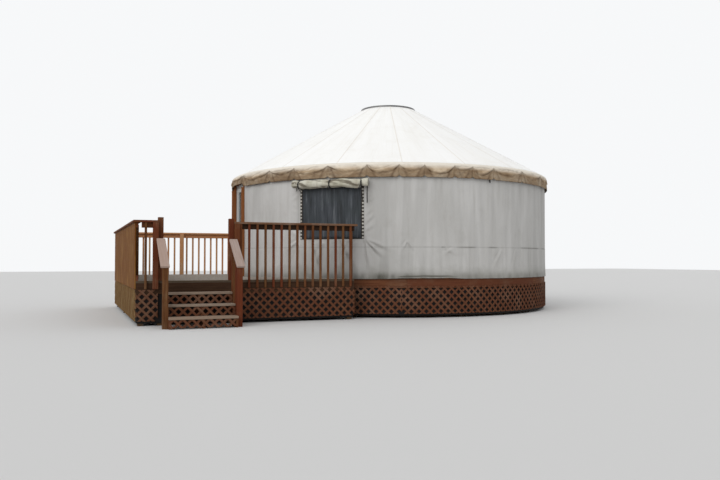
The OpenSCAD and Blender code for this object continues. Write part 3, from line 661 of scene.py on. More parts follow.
def railing(wood, start, run, length, posts, more=(0, 0), free=(0, 0), caps=None, under=None):
    """A straight railing from start along run, with the deck on its left side. The cap goes on by
    more past each end, and no baluster stands in the free length there."""
    start, run = Vector(start), Vector(run)
    deck = Vector((-run.y, run.x, 0))

    def at(along, inward, z):
        return start + run * along + deck * inward + UP * z

    cap_in = CAP_WIDE / 2 - CAP_OUT
    (caps or wood).board(at(-more[0], cap_in, CAP_MIDDLE), at(length + more[1], cap_in, CAP_MIDDLE),
                         CAP_WIDE, THICK, deck, CAP_EASE)
    (under or wood).board(at(0, THICK / 2, UNDER_MIDDLE), at(length, THICK / 2, UNDER_MIDDLE),
                          UNDER_HIGH, THICK, UP)
    along = free[0] + INSET
    while along <= length - free[1] - BALUSTER + 1e-6:
        x, y, _ = at(along + BALUSTER / 2, -BALUSTER / 2, 0)
        upright(wood, x, y, BALUSTER_LOW, CAP_LOW, BALUSTER, side=deck)
        along += PITCH
    for post in posts:
        x, y, _ = at(post + POST / 2, THICK + POST / 2, 0)
        upright(wood, x, y, FLOOR_Z, CAP_LOW, POST, POST_EASE, deck)


front_right, front_left, back_rail = Lumber(), Lumber(), Lumber()
front_right_caps, front_right_under = Lumber(), Lumber()
right_start = STAIR_RIGHT + POST
railing(front_right, (right_start, DECK_FRONT, 0), ALONG_X, DECK_RIGHT - right_start,
        [], (0, CAP_OUT), (POST, 0), front_right_caps, front_right_under)
for newel_x, wood in ((STAIR_RIGHT, front_right), (STAIR_LEFT - POST, front_left)):
    upright(wood, newel_x + POST / 2, DECK_FRONT + POST / 2, FLOOR_Z, NEWEL_HIGH, POST, NEWEL_EASE)

# The short return at the deck's right end, with one baluster on it
upright(front_right, DECK_RIGHT + BALUSTER / 2, DECK_FRONT + RETURN_BALUSTER + BALUSTER / 2,
        BALUSTER_LOW, CAP_LOW, BALUSTER)
front_right.board((DECK_RIGHT - THICK / 2, DECK_FRONT + THICK, UNDER_MIDDLE),
                  (DECK_RIGHT - THICK / 2, DECK_FRONT + RETURN_LONG, UNDER_MIDDLE), UNDER_HIGH, THICK, UP)
return_x = DECK_RIGHT + CAP_OUT - CAP_WIDE / 2
front_right_caps.board((return_x, DECK_FRONT + CAP_WIDE - CAP_OUT + RETURN_FIT, CAP_MIDDLE),
                       (return_x, DECK_FRONT + RETURN_LONG, CAP_MIDDLE), CAP_WIDE, THICK, ALONG_X, CAP_EASE)

left_start = DECK_LEFT - CAP_OUT + CAP_WIDE + FIT
railing(front_left, (left_start, DECK_FRONT, 0), ALONG_X, STAIR_LEFT - POST - left_start,
        [], free=(CORNER_LAP, POST))
back_start = -circle_x(DECK_BACK) - 2 * POST
back_long = back_start - (DECK_LEFT + THICK + POST + FIT)
railing(back_rail, (back_start, DECK_BACK, 0), -ALONG_X, back_long, [0, back_long / 2], more=(0, CORNER_LAP))
front_right.piece("front_right_railing", rail_wood, "stained_wood", "rail_front_right")
front_right_caps.piece("front_right_caps", cap_wood, "stained_wood")
front_right_under.piece("front_right_under_rail", painted_shade_wood, "stained_wood")
front_left.piece("front_left_railing", rail_wood, "stained_wood", "rail_front_left")
back_rail.piece("back_railing", painted_light_back_wood, "stained_wood", "rail_back")


# Stair rails
# Flat handrails slope down between a post bolted to the deck and a foot post on the ground,
# with balusters cut to them. The handrails' bare tops have gone grey.
HANDRAIL_RISE, HANDRAIL_IN = 0.790, 0.015
SLOPE = RISE / GOING
FOOT_Y = STAIR_Y - 3 * GOING + 2 * POST
HEAD_Y = DECK_FRONT - POST - FIT
BALUSTER_DROP, UPRIGHT_EASE, HEAD_EASE = 0.05, 0.003, 0.005

grey_handrail = timber("grey_handrail", rgb(190, 180, 176), rgb(138, 122, 112), rgb(176, 150, 136), 0.85)


def handrail_top(y):
    return FLOOR_Z + HANDRAIL_RISE + (y - DECK_FRONT) * SLOPE


def handrail_under(y, share=1.0):
    """The height at a share of the handrail's thickness below its top."""
    return handrail_top(y) - share * THICK / math.cos(math.atan(SLOPE))


stair_wood, handrails = Lumber(), Lumber()
right_side = (STAIR_RIGHT, STAIR_RIGHT + POST, STAIR_RIGHT, STAIR_RIGHT - HANDRAIL_IN + CAP_WIDE / 2)
left_side = (STAIR_LEFT - POST, STAIR_LEFT - 2 * POST, STAIR_LEFT - BALUSTER,
             STAIR_LEFT + HANDRAIL_IN - CAP_WIDE / 2)
for foot_x, head_x, baluster_x, rail_x in (right_side, left_side):
    head_at = (head_x + POST / 2, DECK_FRONT - POST / 2)
    stair_wood.board((*head_at, BALUSTER_LOW), (*head_at, CAP_LOW), POST - 2 * FIT, POST, ALONG_X, HEAD_EASE)
    cut_uprights = [(foot_x, POST, FOOT_Y - POST, 0.0)]
    y = HEAD_Y - PITCH
    while y > FOOT_Y + BALUSTER:
        low = FLOOR_Z - RISE - BALUSTER_DROP + (y - DECK_FRONT) * SLOPE
        cut_uprights.append((baluster_x, BALUSTER, y, low))
        y -= PITCH
    for x, wide, y, low in cut_uprights:
        section = [(x + wide / 2 + a, y + wide / 2 + b) for a, b in eased(wide, wide, UPRIGHT_EASE)]
        stair_wood.loft([[Vector((a, b, low)) for a, b in section],
                         [Vector((a, b, handrail_under(b))) for a, b in section]])
    rail_head, rail_foot = ((rail_x, y, handrail_under(y, 0.5)) for y in (HEAD_Y, FOOT_Y - POST - NOSING))
    handrails.board(rail_head, rail_foot, CAP_WIDE, THICK, ALONG_X, CAP_EASE)
stair_wood.piece("stair_rail_posts", rail_wood, "stained_wood", "stair_rails")
handrails.piece("stair_handrails", grey_handrail, "weathered_wood")


# Board panel
# Upright boards screwed side by side to the outside of two rails and four posts, with the
# same cap as the railings. It screens the deck's left side.
PANEL_BOARD, PANEL_THICK, BOARD_JOINT, PANEL_FREE_END = 0.1425, 0.019, 0.0012, 0.950
PANEL_POSTS = 4

panel_wood = timber("panel_wood", rgb(146, 98, 42), rgb(88, 54, 20), rgb(100, 58, 22), 0.7,
                    worn=rgb(150, 114, 62))

panel, panel_frame = Lumber(), Lumber()
y = DECK_FRONT
while y < DECK_BACK - 0.02:
    wide = min(PANEL_BOARD, DECK_BACK - y) - BOARD_JOINT
    panel.board((DECK_LEFT - PANEL_THICK / 2, y + wide / 2, BALUSTER_LOW),
                (DECK_LEFT - PANEL_THICK / 2, y + wide / 2, CAP_LOW), wide, PANEL_THICK, ALONG_Y, 0.002)
    y += PANEL_BOARD
panel.piece("panel_boards", panel_wood, "stained_wood", "privacy_panel")
for z in (UNDER_MIDDLE, FLOOR_Z + UNDER_HIGH / 2):
    panel_frame.board((DECK_LEFT + THICK / 2, DECK_FRONT, z), (DECK_LEFT + THICK / 2, DECK_BACK, z),
                      UNDER_HIGH, THICK, UP)
panel_cap_x = DECK_LEFT - CAP_OUT + CAP_WIDE / 2
panel_frame.board((panel_cap_x, DECK_FRONT - CAP_OUT, CAP_MIDDLE),
                  (panel_cap_x, DECK_BACK + CAP_OUT, CAP_MIDDLE), CAP_WIDE, THICK, ALONG_X, CAP_EASE)
post_step = (DECK_BACK - DECK_FRONT - PANEL_FREE_END - POST) / (PANEL_POSTS - 1)
for k in range(PANEL_POSTS):
    upright(panel_frame, DECK_LEFT + THICK + POST / 2, DECK_BACK - POST / 2 - k * post_step,
            FLOOR_Z, CAP_LOW, POST, POST_EASE)
panel_frame.piece("panel_frame", rail_wood, "stained_wood")


# Frame of the tent
# A folding lattice of laths stands on the floor round the room; rafters notched over a steel
# cable on top of it run up to a wooden ring at the crown. Bare lumber throughout.
for node in ("wall_lattice_front", "wall_lattice_right", "wall_lattice_back"):
    dress(node, timber("laths_" + node, along=2, **SOFT_WOOD), 0.001)
dress("rafters", timber("rafter_lumber", along=2, **SOFT_WOOD), 0.003)
dress("crown_ring", timber("ring_lumber", along=2, **SOFT_WOOD), 0.004)


def metal(name, rough, colour, grain, dull=None):
    """A bare metal, ribbed where dull is left out, and otherwise duller in patches."""
    bare = Finish(name, rough, colour)
    bare.shader.inputs["Metallic"].default_value = 1.0
    patches = bare.noise(bare.place(grain), 1, 4 if dull else 2)
    if dull:
        bare.gloss(patches, *dull)
    else:
        bare.relief(patches, 0.001)
    return bare.material


dress("tension_cable", metal("steel_cable", 0.38, rgb(176, 178, 180), (60, 60, 400)))


# Wall cover
# One length of coated grey canvas, fixed to the door frame on both sides, that hangs on the
# lattice from the eave to just below the floor. Its welded seam runs round below the windows.

# Turns round the wall grow past 360. One taken from MIRROR lies as far on the other side of the door.
MIRROR, DOOR_TURN = 720, 8.04
FRONT_WINDOW = (218.5, 237.7)
BACK_WINDOW = (MIRROR - FRONT_WINDOW[1], MIRROR - FRONT_WINDOW[0])
SILL_Z, WINDOW_TOP = (corner[2] for corner in box_of("window_screens"))
COVER_R, SEAM_Z, SEAM_LAP, EDGE_IN = 3.6535, 1.350, 0.003, 0.001
HEM_Z = round(box_of("wall_cover_front")[0][2] + EDGE_IN, 4)
COVER_TOP = round(box_of("wall_cover_front")[1][2] - EDGE_IN, 4)
HEAD_TOP = box_of("door_frame")[1][2]
COVER_FROM, COVER_TO = 180 + DOOR_TURN, 540 - DOOR_TURN
FLAT_OUT, COVER_THICK = 0.008, 0.0014
# The last grey is the darkest, for soil and for painted shade.
WALL_GREY = dict(light=rgb(205, 203, 200), dark=rgb(186, 184, 180),
                 stain=rgb(164, 160, 153), soil_and_shade_colour=rgb(84, 82, 74))
# Pulls in the cloth: where each starts (turn, height), its lean, length and depth
PULLS = [
    (238.9, 1.505, -44, 0.55, 0.021), (238.9, 1.500, -80, 0.74, 0.017), (238.8, 1.520, -23, 0.62, 0.012),
    (238.9, 1.490, -62, 0.42, 0.009), (238.8, 1.660, 32, 0.26, 0.008), (238.8, 1.800, 44, 0.30, 0.008),
    (238.8, 1.960, 40, 0.24, 0.006), (238.7, 2.180, 35, 0.30, 0.005), (217.3, 1.560, 150, 0.30, 0.014),
    (217.3, 1.505, -148, 0.42, 0.015), (217.4, 1.500, -102, 0.60, 0.010), (217.3, 1.760, 160, 0.24, 0.007),
    (217.3, 2.020, 158, 0.26, 0.006), (217.3, 2.400, -152, 0.30, 0.008), (251.5, 1.480, -58, 0.26, 0.010),
    (251.5, 1.480, -118, 0.24, 0.010), (263.0, 1.335, -28, 0.34, 0.007), (266.0, 1.335, -152, 0.30, 0.007),
    (284.0, 1.330, -120, 0.50, 0.007), (291.0, 1.330, -105, 0.46, 0.006), (221.5, 1.530, -68, 0.72, 0.022),
    (226.0, 1.530, -108, 0.68, 0.024), (231.0, 1.530, -60, 0.70, 0.022), (235.5, 1.530, -116, 0.66, 0.020),
]
PULLS += [(MIRROR - turn, z, 180 - lean, long, deep) for turn, z, lean, long, deep in PULLS if turn < 240]
PULL_REACH = 13


def canvas(name, light, dark, stain, rough=0.8, streaks=1.0, hem=None, soil_and_shade_colour=None):
    """Coated woven cloth: threads, rain streaks down it, and dirty patches. hem gives the two heights
    between which the splashes from the ground fade out, and their colour. The last colour is where the
    cloth darkens most, for soil and for painted shade."""
    cloth = Finish(name, rough, light)
    weave = cloth.mark("weave")
    rain = cloth.noise(cloth.scaled(weave, (9.0, 0.7, 0)), 1, 5, 0.6, 0.3)
    broad = cloth.noise(cloth.scaled(weave, (1.6, 0.35, 0)), 1, 4, 0.55, 0.5)
    patches = cloth.noise(cloth.place((2.2, 2.2, 2.2)), 1, 6, 0.65)
    colour = cloth.mix(cloth.ramp(broad, (0.35, 0), (0.7, 0.8 * streaks)), light, dark)
    colour = cloth.mix(cloth.ramp(rain, (0.5, 0), (0.78, 0.35 * streaks)), colour, stain)
    colour = cloth.mix(cloth.ramp(patches, (0.52, 0), (0.8, 0.4 * streaks)), colour, stain)
    if hem is not None:
        low, high, mud = hem
        uneven = cloth.sum("MULTIPLY", cloth.sum("SUBTRACT", patches, 0.5), 0.5)
        splash = cloth.sum("ADD", cloth.part(cloth.place(), "Z"), uneven)
        colour = cloth.mix(cloth.ramp(splash, (low, 0.55), (high, 0)), colour, mud)
    # The weave's third number darkens the cloth towards the last colour: soil, and painted shade in folds and
    # creases.
    colour = cloth.mix(cloth.part(weave, "Z"), colour, soil_and_shade_colour or stain)
    cloth.paint(colour)
    threads = cloth.sum("MULTIPLY", cloth.threads(weave, 900), 0.15)
    cloth.relief(cloth.sum("ADD", threads, patches), 0.0015, 0.6)
    cloth.shader.inputs["Sheen Weight"].default_value = 0.15
    return cloth.material


def steps(*stretches):
    """Places along stretches, each given as (from, to, size of a step)."""
    places = []
    for start, end, step in stretches:
        count = max(1, round((end - start) / step))
        places += [start + (end - start) * k / count for k in range(count)]
    return places + [stretches[-1][1]]


def between(x, *turns):
    """A smooth rise from the first turn to the second, and a fall from the third to the fourth."""
    return ease_in(x, *turns[:2]) * (1 - ease_in(x, *turns[2:]))


def pulled(turn, z):
    """How far the pulls near a point lift the cloth."""
    out = 0.0
    for start, low, lean, long, deep in PULLS:
        if abs(turn - start) > PULL_REACH:
            continue
        s, up, lean = math.radians(turn - start) * COVER_R, z - low, math.radians(lean)
        run = s * math.cos(lean) + up * math.sin(lean)
        off = up * math.cos(lean) - s * math.sin(lean)
        if 0 < run < long:
            wide = 0.018 + 0.060 * run
            ridge = bell(off, wide) - 0.7 * bell(off + 1.6 * wide, wide)
            out += 1.6 * deep * between(run, 0, 0.06, long * 0.4, long) * ridge
    return out


def beside_window(turn, z):
    """1 on the flat border of a window, 0 away from it."""
    near = 0.0
    for a, b in (FRONT_WINDOW, BACK_WINDOW):
        side = math.radians(max(a - turn, turn - b, 0)) * COVER_R
        near = max(near, 1 - ease_in(max(side, SILL_Z - z, z - WINDOW_TOP), 0.050, 0.115))
    return near


def in_window(turn, z):
    return SILL_Z < z < WINDOW_TOP and any(a < turn < b for a, b in (FRONT_WINDOW, BACK_WINDOW))


def cover_waves(s, z):
    """The upright waves of the hanging cloth, from -1 to 1."""
    return soft_noise(s * 5.0, z * 0.40, 8.7, 2)


def cover_point(turn, z):
    s = math.radians(turn) * COVER_R
    out = FLAT_OUT + 0.009 * soft_noise(s * 1.9, z * 0.22, 3.1) + 0.008 * cover_waves(s, z)
    out += 0.0016 * soft_noise(s * 21, z * 1.2, 5.2)
    # the hem swings free of the rim: lifted in one stretch, rumpled in the next
    lifted = between(turn, 244, 250, 264, 270) + between(turn, 400, 412, 428, 440)
    rumpled = 1 - ease_in(turn, 243, 250) + ease_in(turn, 470, 480)
    swing = 0.007 + 0.012 * soft_noise(s * 2.6, 0, 1.9) + 0.016 * lifted
    swing += 0.012 * rumpled * soft_noise(s * 9, z * 5, 7.3)
    out += swing * (1 - ease_in(z, HEM_Z, HEM_Z + 0.30)) + pulled(turn, z)
    flat = beside_window(turn, z)
    out = out * (1 - flat) + FLAT_OUT * flat
    # the lower width laps over the upper one at the seam
    out += SEAM_LAP if z < SEAM_Z else 0.0
    lift = 0.020 * lifted * (0.75 + 0.35 * soft_noise(s * 2.4, 0, 4.4)) + 0.004 * soft_noise(s * 3.4, 0, 6.4)
    return polar(COVER_R + max(out, 0.0005), turn, z + max(lift, 0) * (1 - ease_in(z, HEM_Z, HEM_Z + 0.12)))


def cover_soil_and_shade(turn, z):
    """Darkening of the wall cloth: a dark line along the seam and soil along the hem, with painted shade
    under the folds, in the hollows of the waves, in the tuck above the lifted hem, on a strip past each
    window's outer border, beside the windows, low down right of the front window and on the side away
    from the deck; and painted light that lightens it on the door side of each window.
    """
    s = math.radians(turn) * COVER_R
    broken = ease_in(soft_noise(s * 2.2, 0, 5.5), -0.25, 0.25)
    seam = (0.25 + (0.55 if 262 < turn < 470 else 0.1) * broken) * bell(z - SEAM_Z, 0.008)
    # soil along the hem, darker where the hem is lifted, as painted shade
    hem = (0.34 + 0.22 * bell(turn - 246, 9)) * (1 - ease_in(z, HEM_Z + 0.03, HEM_Z + 0.16))
    hem *= 0.7 + 0.6 * soft_noise(s * 9, z * 3, 2.2)
    # painted shade: a dark line in the tuck just above the lifted hem
    tuck = bell(z - HEM_Z - 0.040 - 0.012 * soft_noise(s * 2.1, 0, 3.9), 0.018)
    hem = max(hem, 1.1 * tuck * between(turn, 246, 252, 262, 270))
    # painted shade where a fold's side faces down
    folds = 9 * max(pulled(turn, z + 0.014) - pulled(turn, z - 0.014), 0)
    # painted shade in the hollows of the upright waves
    hollows = 0.10 * ease_in(-cover_waves(s, z), -0.05, 0.35)
    # painted shade on a strip where the cloth bends off the window's outer border
    past = max(217.0 - turn, turn - 503.0)
    strip = 0.20 * bell(past, 0.7) * between(z, 1.45, 1.6, 2.2, 2.5) if past > 0 else 0.0
    # painted shade low down just right of the front window
    painted_shade_low = 0.12 * bell(turn - 247, 9) * (1 - ease_in(z, 1.0, 1.5))
    # painted shade beside the windows and on the side away from the deck
    shaded = 0.10 + 0.16 * (bell(turn - 243, 5.5) + bell(477 - turn, 5.5) + between(turn, 286, 312, 470, 500))
    # painted light: less darkening on the door side of each window
    painted_light = 0.12 * (bell(turn - 208, 9) + bell(turn - 512, 9))
    return min(max(seam + strip + hem + min(folds, 0.38) + hollows + painted_shade_low + shaded - painted_light, 0.0), 1.0)


# The grid is fine where the folds are sharp, and coarse where the cloth hangs flat
cover_across = steps((COVER_FROM, 204, 0.6), (204, FRONT_WINDOW[0], 0.30), (*FRONT_WINDOW, 0.40),
                     (FRONT_WINDOW[1], 264, 0.19), (264, 302, 0.40), (302, 352, 0.80), (352, 458, 1.0),
                     (458, BACK_WINDOW[0], 0.45), (*BACK_WINDOW, 0.6), (BACK_WINDOW[1], 514, 0.45),
                     (514, COVER_TO, 0.8))
cover_up = steps((HEM_Z, 0.87, 0.013), (0.87, 1.341, 0.024), (1.341, 1.359, 0.009), (1.359, SILL_Z, 0.020),
                 (SILL_Z, WINDOW_TOP, 0.040), (WINDOW_TOP, COVER_TOP, 0.105))
# Across, the grid counts in degrees, so that one step in the flat cloth is the arc of a degree
degree_flat = (math.radians(1) * COVER_R, 1)
wall_cloth = Cloth(cover_across, cover_up, cover_point, degree_flat,
                   keep=lambda turn, z: not in_window(turn, z), soil_and_shade=cover_soil_and_shade)
wall_canvas = canvas("wall_canvas", hem=(0.80, 1.00, rgb(140, 138, 128)), **WALL_GREY)
wall_cover = wall_cloth.piece(
    "wall_cover_cloth", wall_canvas, "wall_canvas",
    "wall_cover_windows", "wall_cover_front", "wall_cover_front_right", "wall_cover_right",
    "wall_cover_back_right", "wall_cover_back", "wall_cover_entry", thick=COVER_THICK)


def over_door_point(turn, z):
    return polar(COVER_R + FLAT_OUT + 0.001 * soft_noise(turn, z * 9, 1.1), turn, z)


over_door = Cloth(steps((180 - DOOR_TURN, COVER_FROM, 0.7)), steps((HEAD_TOP, COVER_TOP, 0.02)),
                  over_door_point, degree_flat)
over_door = over_door.piece("cloth_over_door", canvas("door_canvas", **WALL_GREY), "wall_canvas")


# Windows
# Dark insect mesh is sewn into each opening. Its canvas flap is rolled up above it and tied
# with three straps, and strips of hook and loop down both sides hold the flap when it is down.
FLAP_Z, ROLL_OUT, ROLL_TURNS, ROLL_CORE, ROLL_FULL = 2.572, 0.094, 3.4, 0.020, 0.068
ROLL_R, FLAP_HIGH, FLAP_THICK = COVER_R + ROLL_OUT, 1.10, 0.0016
STRAPS = (218.21, 228.47, 238.03)
PAST_OUTER, PAST_INNER = 2.62, 2.30
CORD_TURN, CORD_LONG, CORD_WIDE = 239.72, 0.35, 0.020
STRAP_R, STRAP_WIDE, TAIL_WIDE, STRAP_THICK = 0.072, 0.026, 0.016, 0.0025
# A strap's two loose ends: how long each is, and how far it leans to one side
TAILS, LONG_TAILS = ((0.11, 0.022), (0.09, -0.016)), ((0.30, 0.010), (0.07, -0.02))
BINDING_LAP, BINDING_WIDE, TAPE_OUT, TAPE_WIDE, TAPE_THICK = 0.004, 0.018, 0.035, 0.042, 0.003
PAD_STEP, PAD_HIGH, PAD_WIDE, PAD_THICK, PAD_EASE = 0.068, 0.032, 0.034, 0.005, 0.002


def webbing(name, colour, grain):
    """Woven tape in one colour, with its ribs."""
    tape = Finish(name, 0.9, colour)
    ribs = tape.noise(tape.place((grain, grain, grain)), 1, 3)
    dark = tuple(c * 0.6 for c in colour[:3]) + (1,)
    tape.paint(tape.ramp(ribs, (0.3, dark), (0.65, colour)))
    tape.relief(ribs, 0.001)
    return tape.material


insect = Finish("insect_mesh", 0.75, rgb(58, 63, 68))
mesh_weave = insect.mark("weave")
# Light and dark streaks down the mesh: painted highlight and shade on its folds.
mesh_fold_light = insect.noise(insect.scaled(mesh_weave, (12, 0.9, 0)), 1, 5, 0.65, 0.3)
mesh_cloud = insect.noise(insect.scaled(mesh_weave, (1.9, 3.0, 0)), 1, 4)
mesh_tone = insect.ramp(mesh_fold_light, (0.38, rgb(28, 30, 34)), (0.47, rgb(50, 54, 60)), (0.55, rgb(62, 66, 72)),
                        (0.66, rgb(98, 101, 105)))
insect.paint(insect.mix(insect.ramp(mesh_cloud, (0.35, 0), (0.72, 0.6)), mesh_tone, rgb(46, 54, 54)))
insect.relief(insect.threads(mesh_weave, 700), 0.0006, 0.5)
# Its last colour darkens the wrinkles of the roll: soil and painted shade.
flap_canvas = canvas("flap_canvas", rgb(212, 209, 194), rgb(172, 168, 146), rgb(136, 122, 98), 0.8, 1.5,
                     soil_and_shade_colour=rgb(84, 72, 54))
black_tape = webbing("black_webbing", rgb(40, 37, 36), 300)
loop_tape = webbing("loop_tape", rgb(66, 60, 54), 220)
hook_pads = webbing("hook_pads", rgb(200, 196, 186), 26)


def band(path, wide, side, thick):
    """A flat strap along a path, as rings of four corners, with its width along side."""
    rings = []
    for k, p in enumerate(path):
        run = (path[min(k + 1, len(path) - 1)] - path[max(k - 1, 0)]).normalized()
        flat, half = run.cross(side).normalized() * thick / 2, side * wide / 2
        rings.append([p - half - flat, p + half - flat, p + half + flat, p - half + flat])
    return rings


def flap_roll(start, end, straps, seed):
    """The flap wound up loosely, as a spiral with wrinkles that wind along it."""

    def wound(u, v):
        s, wind = math.radians(start + (end - start) * u) * ROLL_R, v * ROLL_TURNS * math.tau
        return s, wind, soft_noise(s * 4.0 + wind * 0.9, wind * 0.5 - s * 1.6, seed, 2)

    def place(u, v):
        turn = start + (end - start) * u
        s, wind, wrinkle = wound(u, v)
        tight = max(bell(math.radians(turn - strap) * ROLL_R, 0.034) for strap in straps)
        past = 1 - ease_in(min(u, 1 - u), 0.07, 0.13)
        fine = abs(soft_noise(s * 13 - wind * 0.8, wind * 0.7, seed + 4))
        r = ROLL_CORE + ROLL_FULL * v ** 0.85
        r *= 1 + v * (0.30 * wrinkle + 0.10 * fine - 0.27 * tight - 0.12 * past)
        rise = 0.016 * past - 0.012 * (1 - bell(u - 0.5, 0.35)) * (1 - past)
        rise += 0.008 * soft_noise(s * 2.2, 0, seed + 9)
        edge_drop = 0.016 * ease_in(v, 0.94, 1.0) * (1 - tight)
        radial = max(ROLL_R + r * math.cos(wind + 0.9), COVER_R + FLAT_OUT + 0.003)
        return polar(radial, turn, FLAP_Z + rise + r * math.sin(wind + 0.9) - edge_drop)

    # The roll darkens where the wrinkles sink in: soil, and painted shade.
    return Cloth(even(170), even(102), place, (math.radians(end - start) * ROLL_R, FLAP_HIGH),
                 soil_and_shade=lambda u, v: 0.85 * ease_in(-wound(u, v)[2], 0.0, 0.36))


def tie(lumber, strap, tails):
    """A strap round the roll, whose loose ends hang from a knot at its underside."""
    out, across = polar(1, strap), polar(1, strap + 90)
    middle = polar(ROLL_R, strap, FLAP_Z + 0.002)
    turns = [k * math.tau / 32 for k in range(33)]
    loop = [middle + out * STRAP_R * math.cos(a) + Vector((0, 0, STRAP_R * math.sin(a))) for a in turns]
    lumber.loft(band(loop, STRAP_WIDE, across, STRAP_THICK))
    knot = middle + out * 0.064 - Vector((0, 0, 0.036))
    for long, lean in tails:
        inward = 0.004 if long > 0.2 else 0.0
        tail = [knot + across * lean * k / 3 + Vector((0, 0, -long * k / 8))
                + out * (0.012 * math.sin(k * 0.7) - inward * k) for k in range(9)]
        lumber.loft(band(tail, TAIL_WIDE, across, STRAP_THICK))


def window(name, sides, straps, past, cord_turn, long_tails_at, seed, screen_nodes=(), flap_nodes=()):
    """A window between two angles: its mesh, bindings, hook and loop, rolled flap, straps and cord."""
    a, b = sides
    wide, high = math.radians(b - a) * COVER_R, WINDOW_TOP - SILL_Z
    out = COVER_R + FLAT_OUT

    def mesh_point(u, v):
        turn, edge = a - 0.1 + (b - a + 0.2) * u, min(u, 1 - u, v, 1 - v)
        ripple = 0.005 * soft_noise(math.radians(turn) * COVER_R * 9, v * 0.5, seed) * ease_in(edge, 0, 0.08)
        return polar(COVER_R + 0.006 + ripple, turn, SILL_Z - 0.006 + (high + 0.012) * v)

    screen = Cloth(even(96), even(16), mesh_point, (wide, high))
    screen = screen.piece("window_mesh_" + name, insect.material, "insect_mesh", *screen_nodes)

    binding, tape, pads = Lumber(), Lumber(), Lumber()
    along = [polar(out + 0.0035, a - 0.45 + (b - a + 0.9) * k / 24, 0) for k in range(25)]
    for z in (SILL_Z - BINDING_LAP, WINDOW_TOP + BINDING_LAP):
        binding.loft(band([p + Vector((0, 0, z)) for p in along], 0.020, UP, TAPE_THICK))
    for turn, side in ((a, -1), (b, 1)):
        across = polar(1, turn + 90)
        edge, middle = (turn + side * math.degrees(gap / COVER_R) for gap in (BINDING_LAP, TAPE_OUT))
        upright_z = steps((SILL_Z - 0.012, WINDOW_TOP, 0.05))
        binding.loft(band([polar(out + 0.004, edge, z) for z in upright_z], BINDING_WIDE, across, TAPE_THICK))
        tape.loft(band([polar(out + 0.0035, middle, z) for z in upright_z], TAPE_WIDE, across, TAPE_THICK))
        for z in steps((SILL_Z + 0.018, WINDOW_TOP - 0.06, PAD_STEP)):
            foot, head = (polar(out + 0.0065, middle, z + half) for half in (-PAD_HIGH / 2, PAD_HIGH / 2))
            pads.board(foot, head, PAD_WIDE, PAD_THICK, across, PAD_EASE)
    binding.piece("window_binding_" + name, black_tape, "insect_mesh")
    tape.piece("loop_tape_" + name, loop_tape, "insect_mesh")
    pads.piece("hook_pads_" + name, hook_pads, "flap_canvas")

    roll = flap_roll(a - past[0], b + past[1], straps, seed)
    roll = roll.piece("rolled_flap_" + name, flap_canvas, "flap_canvas", *flap_nodes, thick=FLAP_THICK)
    ties = Lumber()
    for n, strap in enumerate(straps):
        tie(ties, strap, LONG_TAILS if n == long_tails_at else TAILS)
    # the cord that draws the flap up ends in a long tail at the outer end of the roll
    cord = [polar(ROLL_R + 0.012, cord_turn + 0.02 * math.sin(k), FLAP_Z - 0.03 - CORD_LONG * k / 8)
            for k in range(9)]
    ties.loft(band(cord, CORD_WIDE, polar(1, cord_turn + 90), STRAP_THICK))
    ties.piece("flap_straps_" + name, black_tape, "insect_mesh")


window("front", FRONT_WINDOW, STRAPS, (PAST_OUTER, PAST_INNER), CORD_TURN, 2, 2.0,
       ["window_screens"], ["window_flaps"])
window("back", BACK_WINDOW, [MIRROR - strap for strap in reversed(STRAPS)], (PAST_INNER, PAST_OUTER),
       MIRROR - CORD_TURN, 0, 9.0)


# Roof cover
# Cream coated cloth welded from gores, stretched from the crown ring over the rafters to the
# eave. It sinks a little between the rafters.
EAVE_R, EAVE_Z, ROOF_TOP_R = box_of("roof_cover")[1][0], 2.944, 0.600
ROOF_SLOPE, ROOF_LIFT, ROOF_THICK = math.tan(math.radians(29.6)), 0.004, 0.0016
RAFTERS, GORES, UP_ROOF = 38, 18, 24
SEAM_LIFT, SEAM_WIDE, SEAM_THICK = 0.0024, 0.024, 0.0012


def roof_height(r):
    return EAVE_Z + (EAVE_R - r) * ROOF_SLOPE


def roof_point(u, v):
    turn, r = 360 * u, ROOF_TOP_R + (EAVE_R - ROOF_TOP_R) * v
    between_rafters = 0.5 - 0.5 * math.cos(math.radians(turn * RAFTERS))
    sag = 0.0045 * between_rafters * bell(v - 0.6, 0.4)
    slack = 0.003 * (0.5 + 0.5 * soft_noise(math.radians(turn) * 9, v * 2.2, 4.4))
    return polar(r, turn, roof_height(r) + ROOF_LIFT - sag + slack * (1 - bell(v - 1, 0.05)))


roof_canvas = canvas("roof_canvas", rgb(255, 254, 251), rgb(249, 247, 242), rgb(234, 229, 219), 0.75)
seam_canvas = canvas("seam_canvas", rgb(244, 240, 233), rgb(232, 226, 216), rgb(212, 203, 190))
roof_long = math.hypot(EAVE_R - ROOF_TOP_R, (EAVE_R - ROOF_TOP_R) * ROOF_SLOPE)
roof_flat = (math.tau * EAVE_R, roof_long)
roof_cloth = Cloth(even(RAFTERS * 10), even(UP_ROOF), roof_point, roof_flat, closed=True)
roof_cover = roof_cloth.piece("roof_cover_cloth", roof_canvas, "roof_canvas", "roof_cover", thick=ROOF_THICK)
seams = Lumber()
for k in range(GORES):
    turn = 360 / GORES * (k + 0.5)
    path = [roof_point(turn / 360, v) + Vector((0, 0, SEAM_LIFT)) for v in even(UP_ROOF)]
    seams.loft(band(path, SEAM_WIDE, polar(1, turn + 90), SEAM_THICK))
seams.piece("roof_seams", seam_canvas, "roof_canvas")


